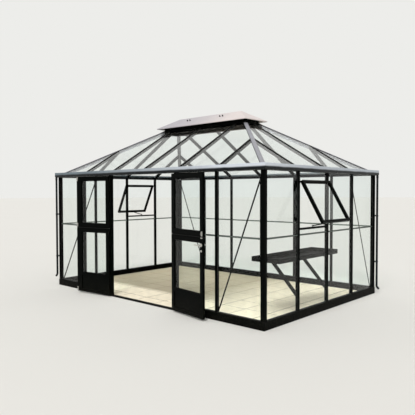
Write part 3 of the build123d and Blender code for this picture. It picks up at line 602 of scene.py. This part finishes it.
def join(parts):
    """Several (points, faces) pairs as one pair."""
    points, faces, start = [], [], 0
    for p, f in parts:
        points.append(p)
        faces += [[i + start for i in face] for face in f]
        start += len(p)
    return np.concatenate(points), faces


def place(name, shape, finish, body="house", stands_for=(), shade=None):
    """Put points and faces into a mesh object, turn its faces outward and tie it to a body.

    Shade is one number for each point, for the finishes that read it.
    """
    points, faces = shape
    mesh = bpy.data.meshes.new(name)
    mesh.from_pydata(points.tolist(), [], faces)
    work = bmesh.new()
    work.from_mesh(mesh)
    bmesh.ops.recalc_face_normals(work, faces=work.faces)
    work.to_mesh(mesh)
    work.free()
    mesh.validate()
    if shade is not None:
        mesh.attributes.new("shade", "FLOAT", "POINT").data.foreach_set("value", shade)
    mesh.materials.append(finishes()[finish])
    piece = bpy.data.objects.new(name, mesh)
    bpy.context.scene.collection.objects.link(piece)
    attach(piece, body)
    if stands_for:
        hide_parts(*stands_for)
    return piece


# Places on the walls, the roof and the door leaves
def wall_axes(side):
    """Along, outward and origin vectors of a wall, along running left to right seen from outside."""
    half = {"front": HALF_W, "back": HALF_W, "right": HALF_L, "left": HALF_L}[side]
    along = {"front": (1, 0, 0), "back": (-1, 0, 0), "right": (0, 1, 0), "left": (0, -1, 0)}[side]
    out = {"front": (0, -1, 0), "back": (0, 1, 0), "right": (1, 0, 0), "left": (-1, 0, 0)}[side]
    along, out = np.array(along, float), np.array(out, float)
    return along, out, out * half


def wall_point(side, a, out, z):
    """Point on a wall, at a along it, out from the post line and z up."""
    along, outward, origin = wall_axes(side)
    return origin + a * along + out * outward + np.array([0, 0, z])


def half_of(side):
    """Half length of a wall between post centres."""
    return BAY * BAYS[side] / 2


def line(side, index):
    """Position of a grid line along a wall."""
    return BAY * index - half_of(side)


def cover(side, index):
    """Half width of the upright on a grid line."""
    if index in (0, BAYS[side]):
        return POST / 2
    if side == "front" and index in (DOOR_LINES[0], DOOR_LINES[-1]):
        return JAMB_W / 2
    return BAR_W / 2


def slope_point(side, a, v, lift=0.0):
    """Point on the underside of the roof glass, v in from the post line, raised by lift."""
    return wall_point(side, a, -v, SEAT_Z + PITCH * v + lift)


def slope_normal(side):
    """Outward normal of a roof slope."""
    normal = PITCH * wall_axes(side)[1] + np.array([0, 0, 1])
    return normal / np.linalg.norm(normal)


def leaf_axes(hand, level):
    """Pivot, direction away from the hinge and inward direction of an open leaf, from its joint."""
    joint = JOINTS[f"{hand}_{level}_leaf_hinge"]
    sign = 1 if hand == "left" else -1
    turn = -math.radians(max(abs(x) for x in joint["range_deg"])) * sign
    c, s = math.cos(turn), math.sin(turn)
    return np.array([*joint["pos_m"][:2], 0.0]), np.array([sign * c, sign * s, 0.0]), np.array([-s, c, 0.0])


def leaf_point(hand, level, s, o, z):
    """Point on an open leaf, s from its hinge edge and o inward from its outer face."""
    pivot, away, inward = leaf_axes(hand, level)
    return pivot + (s + SIDE_GAP / 2) * away + o * inward + np.array([0, 0, z])


def sash_point(side, a, o, drop):
    """Point on an open window: a along the wall, o out from the sash's inner face, drop from its top."""
    turn = math.radians(SASH_TURN[side])
    c, s = math.cos(turn), math.sin(turn)
    return wall_point(side, a, SASH_FACE + o * c + drop * s, SASH_TOP + o * s - drop * c)


def seal_profile(width):
    """Section of a small wedge seal, flat on the glass and tall against the bar."""
    return [(0, 0), (width, 0), (width * 0.7, width * 0.5), (0, width * 0.9)]


SIDES = tuple(BAYS)


class GREENHOUSE_OT_finish_frame(bpy.types.Operator):
    """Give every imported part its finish"""
    bl_idname = "greenhouse.finish_frame"
    bl_label = "Finish the frame"

    def execute(self, context):
        table = finishes()
        for name, node in NODES.items():
            node.data.materials.clear()
            node.data.materials.append(table[finish_of(name)])
        return {"FINISHED"}


class GREENHOUSE_OT_wall_seals(bpy.types.Operator):
    """Lay a rubber seal round every wall pane, against the bars that cover its edges"""
    bl_idname = "greenhouse.wall_seals"
    bl_label = "Wall seals"

    def execute(self, context):
        profile = seal_profile(context.scene.greenhouse_sizes.seal_width)
        parts = []
        rails = box_of("window_rails")
        for side in SIDES:
            normal = wall_axes(side)[1]
            for bay in range(1, BAYS[side] + 1):
                if side == "front" and bay in DOOR_BAYS:
                    continue
                rows = [(BASE_H, JOINT_LOW), (JOINT_HIGH, EAVE_Z)]
                if side in SASH_TURN and bay == WINDOW_BAY:
                    rows = [rows[0], (JOINT_HIGH, rails[0][2]), (rails[1][2], EAVE_Z)]
                a0 = line(side, bay - 1) + cover(side, bay - 1)
                a1 = line(side, bay) - cover(side, bay)
                for z0, z1 in rows:
                    corners = [wall_point(side, a, GLASS_OUT, z)
                               for a, z in ((a0, z0), (a1, z0), (a1, z1), (a0, z1))]
                    parts.append(carried(profile, loop_frames(corners, normal), closed=True))
        place("wall_glazing_seals", join(parts), "rubber")
        return {"FINISHED"}


class GREENHOUSE_OT_door_beads(bpy.types.Operator):
    """Set glazing beads into both faces of the four door leaves"""
    bl_idname = "greenhouse.door_beads"
    bl_label = "Door beads"

    def execute(self, context):
        w = context.scene.greenhouse_sizes.bead_width
        rise = (LEAF_T - LEAF_GLASS_T) / 2 - BEAD_BACK
        profile = [(0, 0), (w, 0), (w, rise * 0.3), (w * 0.35, rise), (0, rise)]
        for hand in ("left", "right"):
            free = LEAF_W - FREE_STILE[hand]
            for level in ("upper", "lower"):
                low, high = box_of(f"{hand}_{level}_glass")
                axes = leaf_axes(hand, level)
                parts = []
                for sign in (-1, 1):
                    o = LEAF_T / 2 + sign * LEAF_GLASS_T / 2
                    corners = [leaf_point(hand, level, s, o, z) for s, z in (
                        (STILE, low[2]), (free, low[2]), (free, high[2]), (STILE, high[2]))]
                    parts.append(carried(profile, loop_frames(corners, sign * axes[2]), closed=True))
                place(f"{hand}_{level}_beads", join(parts), "black", body=f"{hand}_{level}_leaf")
        return {"FINISHED"}


class GREENHOUSE_OT_floor(bpy.types.Operator):
    """Pave the floor with slabs on a mortar bed and lay the ribbed threshold plate"""
    bl_idname = "greenhouse.floor"
    bl_label = "Floor"

    def execute(self, context):
        keep = context.scene.greenhouse_sizes
        shape, shade = self.slabs(keep)
        place("paving_slabs", shape, "stone", stands_for=["floor_slab"], shade=shade)
        x = np.linspace(FLOOR_HIGH[0], FLOOR_LOW[0], 120)
        wave = BED_WAVE * np.sin(2 * math.pi * x / BED_WAVE_PITCH)
        top = np.stack([x, FLOOR_HIGH[2] - BED_DROP + wave], -1)
        bed = np.concatenate([[(x[-1], FLOOR_LOW[2]), (x[0], FLOOR_LOW[2])], top])
        frames = [[(0, y, 0), (1, 0, 0), (0, 0, 1)] for y in (FLOOR_LOW[1], FLOOR_HIGH[1])]
        place("paving_bed", carried(bed, frames), "mortar")
        y = np.linspace(STEP_HIGH[1], STEP_LOW[1], 97)
        wave = np.clip(2 * np.sin(2 * math.pi * (y - STEP_LOW[1]) / TREAD_PITCH), -1, 1)
        plate = np.concatenate([[(y[-1], STEP_LOW[2]), (y[0], STEP_LOW[2])],
                                np.stack([y, STEP_HIGH[2] - TREAD_H + TREAD_H * wave], -1)])
        frames = [[(x, 0, 0), (0, 1, 0), (0, 0, 1)] for x in (STEP_LOW[0], STEP_HIGH[0])]
        place("threshold_plate", carried(plate, frames), "black", stands_for=["threshold"])
        return {"FINISHED"}

    def slabs(self, keep):
        """Slabs as rings of four corners for foot, shoulder and top, with one random shade for each slab.

        Corner = middle + (half - inset) * (+-1, +-1), where the inset is the arris and only the top has it.
        """
        spans = []
        for low, high in zip(FLOOR_LOW[:2], FLOOR_HIGH[:2]):
            count = math.ceil((high - low) / keep.slab)
            edges = (low + high) / 2 + (np.arange(count + 1) - count / 2) * keep.slab
            edges = np.clip(edges, low, high)
            spans.append(np.stack([edges[:-1] + keep.slab_joint / 2, edges[1:] - keep.slab_joint / 2], -1))
        i, j = (k.ravel() for k in np.meshgrid(*(np.arange(len(span)) for span in spans)))
        x, y = spans[0][i], spans[1][j]
        middle = np.stack([x.mean(1), y.mean(1)], -1)[:, None]
        half = np.stack([x[:, 1] - x[:, 0], y[:, 1] - y[:, 0]], -1)[:, None] / 2
        signs = np.array([[-1, -1], [1, -1], [1, 1], [-1, 1]])
        rng = np.random.default_rng(keep.seed)
        top = FLOOR_HIGH[2] - rng.uniform(0, SLAB_UNEVEN, len(x))
        rings = [np.concatenate([middle + (half - inset) * signs, np.repeat(z, 4).reshape(-1, 4, 1)], -1)
                 for inset, z in ((0, FLOOR_LOW[2] + 0 * top), (0, top - SLAB_ARRIS), (SLAB_ARRIS, top))]
        points = np.concatenate(rings, 1).reshape(-1, 3)
        one = np.array(grid_faces(3, 4, True, False) + [[0, 1, 2, 3], [8, 9, 10, 11]])
        faces = (one[None] + 12 * np.arange(len(x))[:, None, None]).reshape(-1, 4).tolist()
        return (points, faces), np.repeat(rng.random(len(x)), 12)


class GREENHOUSE_OT_roof_trim(bpy.types.Operator):
    """Seal the roof panes, flash the vent curb, fasten its cap and plug the rafter feet"""
    bl_idname = "greenhouse.roof_trim"
    bl_label = "Roof trim"

    def execute(self, context):
        keep = context.scene.greenhouse_sizes
        place("roof_glazing_seals", join(self.seals(seal_profile(keep.seal_width))), "rubber")
        place("curb_flashing", self.flashing(keep.flashing), "black")
        stud = [(0.013, -0.001), (0.013, 0.004), (0.009, 0.006), (0.009, 0.019), (0.006, 0.022)]
        studs = [lathe(stud, (x + dx, sy * CAP_BOLT, CAP_TOP - PITCH * CAP_BOLT),
                       np.array([0, sy * PITCH, 1]) / math.hypot(PITCH, 1), 12)
                 for x in (-BAY / 2, BAY / 2) for dx in (-CAP_BOLT_HALF, CAP_BOLT_HALF) for sy in (-1, 1)]
        place("cap_fasteners", join(studs), "black")
        place("rafter_end_plugs", join([self.plug(side, line(side, i))
                                        for side in SIDES for i in range(1, BAYS[side])]), "black")
        y, z = CURB_LOW[1], CURB_HIGH[2]
        under = CAP_TOP - PITCH * CAP_ROD - 0.012
        rod = [(ROD_X, y + ROD_R, z - 0.030), (ROD_X, y - 0.012, z - 0.032),
               (ROD_X, -CAP_ROD + 0.02, z - 0.026), (ROD_X, -CAP_ROD, under - 0.008),
               (ROD_X, -CAP_ROD, under + 0.003)]
        place("vent_catch_rod", tube(rod, ROD_R, (1, 0, 0)), "steel")
        return {"FINISHED"}

    def seals(self, profile):
        """Wedge seals on the glass beside every rafter cap and every hip cap."""
        parts = []
        root = HIP_W / 2 * math.sqrt(2)
        for side in SIDES:
            along, up = wall_axes(side)[0], slope_normal(side)
            for hand in (-1, 1):
                for a in (line(side, i) + hand * RAFTER_W / 2 for i in range(1, BAYS[side])):
                    top = min(CURB_V, half_of(side) - abs(a) - root)
                    ends = [slope_point(side, a, v, ROOF_GLASS_T) for v in (-GLASS_LAP, top)]
                    parts.append(carried(profile, [[p, hand * along, up] for p in ends]))
                reach = half_of(side) - root
                ends = [slope_point(side, hand * (reach - v), v, ROOF_GLASS_T)
                        for v in (-GLASS_LAP, CURB_V)]
                across = np.cross(up, ends[1] - ends[0])
                across *= -hand * np.sign(across @ along) / np.linalg.norm(across)
                parts.append(carried(profile, [[p, across, up] for p in ends]))
        return parts

    def flashing(self, reach):
        """Skirt round the vent curb: it covers the glass and the rafter tops and stands up the curb."""
        x, y, z = CURB_HIGH[0], CURB_HIGH[1], SEAT_Z + PITCH * CURB_V
        low, high = ROOF_GLASS_T + FLASH_GAP, ROOF_GLASS_T + CAP_RISE + FLASH_T
        drop = PITCH * reach
        profile = [(0, low), (-reach, low - drop), (-reach, high - drop), (-0.002, high),
                   (-0.002, FLASH_UP), (0, FLASH_UP)]
        corners = [(-x, -y, z), (x, -y, z), (x, y, z), (-x, y, z)]
        return carried(profile, loop_frames(corners, (0, 0, 1)), closed=True)

    def plug(self, side, a):
        """End plug over the foot of a rafter cap: its section, drawn in at the end."""
        w, h = RAFTER_W / 2 + PLUG_WALL, CAP_RISE + PLUG_WALL
        profile = [(-w, 0), (w, 0), (w, h - 0.003), (w - 0.005, h), (0.005 - w, h), (-w, h - 0.003)]
        along = wall_axes(side)[0]
        frames = []
        for out, share in ((-0.012, 1.0), (0.003, 1.0), (0.0045, 0.8)):
            foot = slope_point(side, a, -GLASS_LAP - out, ROOF_GLASS_T + h * (1 - share) / 2)
            frames.append([foot, share * along, (0, 0, share)])
        return carried(profile, frames)


class GREENHOUSE_OT_gutter_trim(bpy.types.Operator):
    """Cover the gutter corners and add the sockets and screws of the downpipes"""
    bl_idname = "greenhouse.gutter_trim"
    bl_label = "Gutter trim"

    def execute(self, context):
        outer, inner = self.face(COVER_OUT), self.face(COVER_IN)
        profile = np.concatenate([outer, inner[::-1]])
        covers, sockets, heads = [], [], []
        for sx in (-1, 1):
            for sy in (-1, 1):
                corner = (sx * HALF_L, sy * HALF_W, 0)
                frames = [[corner, across, (0, 0, 1)] for across in ((sx, 0, 0), (sx, sy, 0), (0, sy, 0))]
                covers.append(carried(profile, frames))
            pipe = (sx * (HALF_L + PIPE_OFF), sx * (HALF_W + PIPE_OFF), EAVE_Z)
            wide = PIPE_R + 0.0022
            collar = [(PIPE_R, -0.045), (wide, -0.043), (wide, -0.008), (PIPE_R, -0.005)]
            sockets.append(lathe(collar, pipe, (0, 0, 1), 24, ring=True))
            for z in CLIP_ZS:
                turn = np.array([sx, -sx, 0]) / math.sqrt(2)
                spot = np.array([sx * (HALF_L + CLIP_SCREW_OFF), sx * (HALF_W + CLIP_SCREW_OFF), z])
                heads += [(spot + hand * CLIP_T * 2.8 * turn, hand * turn) for hand in (-1, 1)]
        place("gutter_corner_covers", join(covers), "gutter")
        place("downpipe_sockets", join(sockets), "pipe")
        place("pipe_clip_screws", dome_heads(heads, SCREW_R), "steel")
        return {"FINISHED"}

    def face(self, lift):
        """Outer face of the gutter moved out by lift: the arc of the nose, then the arc over the lip."""
        low, high = np.radians(np.linspace(-90, 0, 7)), np.radians(np.linspace(0, 180, 7))
        nose = np.stack([GUTTER_OUT - NOSE_R + (NOSE_R + lift) * np.cos(low),
                         EAVE_Z + NOSE_R + (NOSE_R + lift) * np.sin(low)], -1)
        lip = np.stack([GUTTER_OUT - LIP_R + (LIP_R + lift) * np.cos(high),
                        GUTTER_TOP - LIP_R + (LIP_R + lift) * np.sin(high)], -1)
        return np.concatenate([nose, lip])


class GREENHOUSE_OT_window_trim(bpy.types.Operator):
    """Bead the panes of the open side windows and add their hinges and stay knobs"""
    bl_idname = "greenhouse.window_trim"
    bl_label = "Window trim"

    def execute(self, context):
        beads, hinges, knobs = [], [], []
        rise = (SASH_T - LEAF_GLASS_T) / 2 - SASH_BEAD_BACK
        profile = [(0, 0), (0.006, 0), (0.006, rise * 0.4), (0.002, rise), (0, rise)]
        for side in SASH_TURN:
            a0, a1 = line(side, WINDOW_BAY - 1) + SASH_SIDE, line(side, WINDOW_BAY) - SASH_SIDE
            normal = sash_point(side, 0, 1, 0) - sash_point(side, 0, 0, 0)
            for sign in (-1, 1):
                o = SASH_T / 2 + sign * LEAF_GLASS_T / 2
                corners = [sash_point(side, a, o, drop) for a, drop in (
                    (a0 + SASH_W, SASH_H - SASH_W), (a1 - SASH_W, SASH_H - SASH_W),
                    (a1 - SASH_W, SASH_W), (a0 + SASH_W, SASH_W))]
                beads.append(carried(profile, loop_frames(corners, sign * normal), closed=True))
            hinges.append(self.hinge(side, a0, a1))
            outward = wall_axes(side)[1]
            peg = wall_point(side, (a0 + a1) / 2, PEG_OUT, SILL_Z + PEG_RISE)
            knob = [(0.002, 0.0), (0.002, 0.006), (0.006, 0.008), (0.006, 0.013), (0.003, 0.015)]
            knobs.append(lathe(knob, peg - PEG_HALF * outward, -outward, 14))
        place("window_beads", join(beads), "black")
        place("window_hinges", join(hinges), "black")
        place("window_stay_knobs", join(knobs), "steel")
        return {"FINISHED"}

    def hinge(self, side, a0, a1):
        """Continuous hinge over a sash: a barrel whose radius drops by a quarter at each knuckle joint."""
        a = np.arange(a0, a1 - KNUCKLE_L, KNUCKLE_L)[:, None] + np.array([0.0, 0.0005, 0.0475, 0.048])
        share = np.broadcast_to([0.75, 1.0, 1.0, 0.75], a.shape).ravel()
        outward = wall_axes(side)[1]
        t = np.arange(10) * math.pi / 5
        ring = BARREL_R * np.stack([np.cos(t), np.sin(t)], -1)
        frames = [[wall_point(side, k, SASH_FACE - 0.001, SASH_TOP + 0.006), r * outward, (0, 0, r)]
                  for k, r in zip(a.ravel(), share)]
        return carried(ring, frames)


class GREENHOUSE_OT_door_trim(bpy.types.Operator):
    """Add the brush seals, the hinge screws and the key plates of the doors"""
    bl_idname = "greenhouse.door_trim"
    bl_label = "Door trim"

    def execute(self, context):
        for hand in ("left", "right"):
            for level in ("upper", "lower"):
                self.brushes(hand, level)
                self.screws(hand, level)
        heads = []
        for joint in JOINTS.values():
            x = joint["pos_m"][0]
            sign = math.copysign(1, x)
            level = "upper" if "upper" in joint["name"] else "lower"
            x, y = x + sign * JAMB_SCREW_OFF, -HALF_W - POST / 2 - PLATE_T
            heads += [((x, y, z + k * KNUCKLE_STEP), (0, -1, 0))
                      for z in self.hinge_heights("left", level) for k in (-1, 1)]
        place("jamb_hinge_screws", dome_heads(heads, JAMB_SCREW_R), "black")
        s = LEAF_W - FREE_STILE["right"] / 2
        disc = [(0.014, -0.001), (0.014, 0.003), (0.011, 0.005), (0.0045, 0.005), (0.0045, 0.002)]
        inward = leaf_axes("right", "lower")[2]
        discs = [lathe(disc, leaf_point("right", "lower", s, o, HANDLE_Z - KEY_DROP), sign * inward, 24)
                 for o, sign in ((LEAF_T, 1), (0, -1))]
        place("right_lower_key_plates", join(discs), "steel", body="right_lower_leaf")
        return {"FINISHED"}

    def hinge_heights(self, hand, level):
        """Heights of both hinges of a leaf."""
        low, high = box_of(f"{hand}_{level}_frame")
        return low[2] + HINGE_INSET, high[2] - HINGE_INSET

    def brushes(self, hand, level):
        """Comb of three fins below a leaf, and one down the meeting edge of the left leaves.

        A fin has the full length of the brush, and between two fins the comb has 0.8 of it.
        """
        low, high = box_of(f"{hand}_{level}_frame")
        o = np.linspace(BRUSH_SIDE, LEAF_T - BRUSH_SIDE, 13)
        fins = BRUSH_L * np.where(np.arange(13) % 4 < 2, 1.0, 0.8)
        comb = np.concatenate([[(o[-1], -BRUSH_SINK), (o[0], -BRUSH_SINK)], np.stack([o, fins], -1)])
        inward = leaf_axes(hand, level)[2]
        ends = [leaf_point(hand, level, s, 0, low[2]) for s in (0.012, LEAF_W - 0.002)]
        parts = [carried(comb, [[p, inward, (0, 0, -1)] for p in ends])]
        if hand == "left":
            away = leaf_axes(hand, level)[1]
            comb = comb * (1, 0.75)
            ends = [leaf_point(hand, level, LEAF_W, 0, z) for z in (low[2] + 0.002, high[2] - 0.002)]
            parts.append(carried(comb, [[p, inward, away] for p in ends]))
        place(f"{hand}_{level}_brush_seals", join(parts), "rubber", body=f"{hand}_{level}_leaf")

    def screws(self, hand, level):
        """Screws of the hinge plates on a leaf."""
        inward = leaf_axes(hand, level)[2]
        heads = [(leaf_point(hand, level, s, -PLATE_T, z), -inward)
                 for z in self.hinge_heights(hand, level) for s in LEAF_SCREWS]
        place(f"{hand}_{level}_hinge_screws", dome_heads(heads, SCREW_R), "black",
              body=f"{hand}_{level}_leaf")


class GREENHOUSE_OT_fixings(bpy.types.Operator):
    """Screw the base, the glazing bars, the braces and the staging arms to the frame"""
    bl_idname = "greenhouse.fixings"
    bl_label = "Fixings"

    def execute(self, context):
        radius = context.scene.greenhouse_sizes.screw_radius
        heads = []
        for side in SIDES:
            outward = wall_axes(side)[1]
            for i in range(BAYS[side]):
                if side == "front" and i + 1 in DOOR_BAYS:
                    continue
                heads += [(wall_point(side, line(side, i + share), BASE_OUT, BASE_H / 2), outward)
                          for share in (0.2, 0.8)]
            for i in range(1, BAYS[side]):
                if side == "front" and i in DOOR_LINES:
                    continue
                heads += [(wall_point(side, line(side, i), BAR_OUT, z), outward)
                          for z in (BASE_H + END_INSET, EAVE_Z - END_INSET)]
            for a, z in self.brace_ends(side):
                heads.append((wall_point(side, a, -BAR_IN - BRACE_T, z), -outward))
        place("frame_screws", dome_heads(heads, radius), "black")
        x = TRAY_HIGH[0] - 0.030
        heads = [((x - dx, BAY * i - HALF_W, TRAY_LOW[2] - 0.008), (0, 0, -1))
                 for i in (1, 2) for dx in (0.03, 0.33)]
        place("staging_screws", dome_heads(heads, SCREW_R), "steel")
        return {"FINISHED"}

    def brace_ends(self, side):
        """Both ends of the brace of a wall, END_INSET above its foot and below its top."""
        n = BAYS[side]
        corner, inner = line(side, n) - POST / 2 - 0.002, line(side, n - 1)
        top, foot = (corner, inner) if side in ("front", "back") else (inner, corner)
        share = END_INSET / (EAVE_Z - BASE_H)
        return [(foot + (top - foot) * k, BASE_H + (EAVE_Z - BASE_H) * k) for k in (share, 1 - share)]


class GREENHOUSE_OT_staging_trim(bpy.types.Operator):
    """Roll the rim of the staging tray and press ribs into its floor"""
    bl_idname = "greenhouse.staging_trim"
    bl_label = "Staging trim"

    def execute(self, context):
        (x0, y0, z0), (x1, y1, z1) = TRAY_LOW, TRAY_HIGH
        t = np.arange(12) * math.pi / 6
        ring = np.stack([RIM_OFF + RIM_R * np.cos(t), -RIM_R + RIM_R * np.sin(t)], -1)
        corners = [(x0, y0, z1), (x1, y0, z1), (x1, y1, z1), (x0, y1, z1)]
        place("staging_rim", carried(ring, loop_frames(corners, (0, 0, 1)), closed=True), "black")
        rib = [(-0.012, -0.0005), (0.012, -0.0005), (0.007, 0.003), (-0.007, 0.003)]
        parts = []
        for y in np.arange(y0 + 0.11, y1 - 0.05, RIB_PITCH):
            parts.append(carried(rib, [[(x, y, z0 + TRAY_SKIN), (0, 1, 0), (0, 0, r)] for x, r in (
                (x0 + 0.03, 0.15), (x0 + 0.05, 1.0), (x1 - 0.05, 1.0), (x1 - 0.03, 0.15))]))
        place("staging_ribs", join(parts), "black")
        return {"FINISHED"}


class GREENHOUSE_OT_stage(bpy.types.Operator):
    """Set up the plain studio: floor, backdrop, soft light and the camera of the photograph"""
    bl_idname = "greenhouse.stage"
    bl_label = "Studio"

    def execute(self, context):
        scene = context.scene
        look = scene.greenhouse_stage
        self.make_floor(look)
        self.make_world(scene, look)
        sun = bpy.data.lights.new("key", "SUN")
        sun.energy = look.key
        sun.angle = math.radians(KEY_ANGLE)
        lamp = bpy.data.objects.new("key", sun)
        lamp.rotation_euler = [math.radians(a) for a in KEY_TURN]
        scene.collection.objects.link(lamp)
        camera = bpy.data.cameras.new("camera")
        camera.lens, camera.sensor_width = CAMERA_LENS, SENSOR
        camera.clip_end = CLIP_END
        eye = bpy.data.objects.new("camera", camera)
        eye.location = CAMERA_AT
        eye.rotation_euler = [math.radians(a) for a in CAMERA_TURN]
        scene.collection.objects.link(eye)
        scene.camera = eye
        scene.view_settings.view_transform = "Standard"
        return {"FINISHED"}

    def make_floor(self, look):
        """Flat disc of studio floor just under the house, as rings of (r cos t, r sin t)."""
        r = np.array(FLOOR_RINGS)[:, None]
        t = np.arange(FLOOR_SPOKES) * 2 * math.pi / FLOOR_SPOKES
        height = np.full((len(r), len(t)), -FLOOR_DROP)
        flat = np.stack([r * np.cos(t), r * np.sin(t), height], -1).reshape(-1, 3)
        mesh = bpy.data.meshes.new("studio_floor")
        mesh.from_pydata(flat.tolist(), [], grid_faces(len(r), len(t), True, False))
        material, tree = new_material("studio paper")
        at = add(tree, COORD).outputs["Object"]
        fibre = add(tree, NOISE, {"Vector": at, "Scale": 0.4, "Detail": 3.0}).outputs[0]
        dim = [c * 0.97 for c in look.floor]
        tone = add(tree, MIX, {0: fibre, 6: look.floor, 7: dim}, data_type="RGBA").outputs[2]
        shader = add(tree, "ShaderNodeBsdfPrincipled", {"Base Color": tone, "Roughness": 0.9})
        add(tree, "ShaderNodeOutputMaterial", [shader.outputs[0]])
        mesh.materials.append(material)
        floor = bpy.data.objects.new("studio_floor", mesh)
        bpy.context.scene.collection.objects.link(floor)

    def make_world(self, scene, look):
        """Even light for surfaces, and the backdrop colour for what is seen, mirrored or behind glass."""
        world = bpy.data.worlds.new("studio")
        world.use_nodes = True
        tree = world.node_tree
        tree.nodes.clear()
        ray = add(tree, "ShaderNodeLightPath").outputs
        seen = add(tree, MATH, (ray["Is Camera Ray"], ray["Is Glossy Ray"]), operation="MAXIMUM").outputs[0]
        seen = add(tree, MATH, (seen, ray["Is Transmission Ray"]), operation="MAXIMUM").outputs[0]
        light = add(tree, "ShaderNodeBackground", {"Color": (1.0, 1.0, 1.0), "Strength": look.fill})
        drop = add(tree, "ShaderNodeBackground", {"Color": look.backdrop, "Strength": 1.0})
        both = add(tree, "ShaderNodeMixShader", (seen, light.outputs[0], drop.outputs[0]))
        add(tree, "ShaderNodeOutputWorld", [both.outputs[0]])
        scene.world = world


OPERATORS = (GREENHOUSE_OT_finish_frame, GREENHOUSE_OT_wall_seals, GREENHOUSE_OT_door_beads,
             GREENHOUSE_OT_floor, GREENHOUSE_OT_roof_trim, GREENHOUSE_OT_gutter_trim,
             GREENHOUSE_OT_window_trim, GREENHOUSE_OT_door_trim, GREENHOUSE_OT_fixings,
             GREENHOUSE_OT_staging_trim, GREENHOUSE_OT_stage)
GROUPS = {"greenhouse_finish": FinishSettings, "greenhouse_sizes": SizeSettings,
          "greenhouse_stage": StageSettings}


class GREENHOUSE_PT_panel(bpy.types.Panel):
    """Sidebar panel with every setting and a button for every operator"""
    bl_label = "Greenhouse"
    bl_idname = "GREENHOUSE_PT_panel"
    bl_space_type = "VIEW_3D"
    bl_region_type = "UI"
    bl_category = "Greenhouse"

    def draw(self, context):
        for group in GROUPS:
            settings = getattr(context.scene, group)
            section = self.layout.box()
            for name in settings.__annotations__:
                section.prop(settings, name)
        for operator in OPERATORS:
            self.layout.operator(operator.bl_idname)


def register():
    """Register the settings, the operators and the panel."""
    for group in GROUPS.values():
        bpy.utils.register_class(group)
    for name, group in GROUPS.items():
        setattr(bpy.types.Scene, name, PointerProperty(type=group))
    for operator in OPERATORS:
        bpy.utils.register_class(operator)
    bpy.utils.register_class(GREENHOUSE_PT_panel)


def unregister():
    """Take back what register did, in the opposite order."""
    bpy.utils.unregister_class(GREENHOUSE_PT_panel)
    for operator in reversed(OPERATORS):
        bpy.utils.unregister_class(operator)
    for name in GROUPS:
        delattr(bpy.types.Scene, name)
    for group in GROUPS.values():
        bpy.utils.unregister_class(group)


def main():
    register()
    for operator in OPERATORS:
        area, call = operator.bl_idname.split(".")
        if getattr(getattr(bpy.ops, area), call)() != {"FINISHED"}:
            raise RuntimeError(f"{operator.bl_idname} did not finish")


if __name__ == "__main__":
    main()
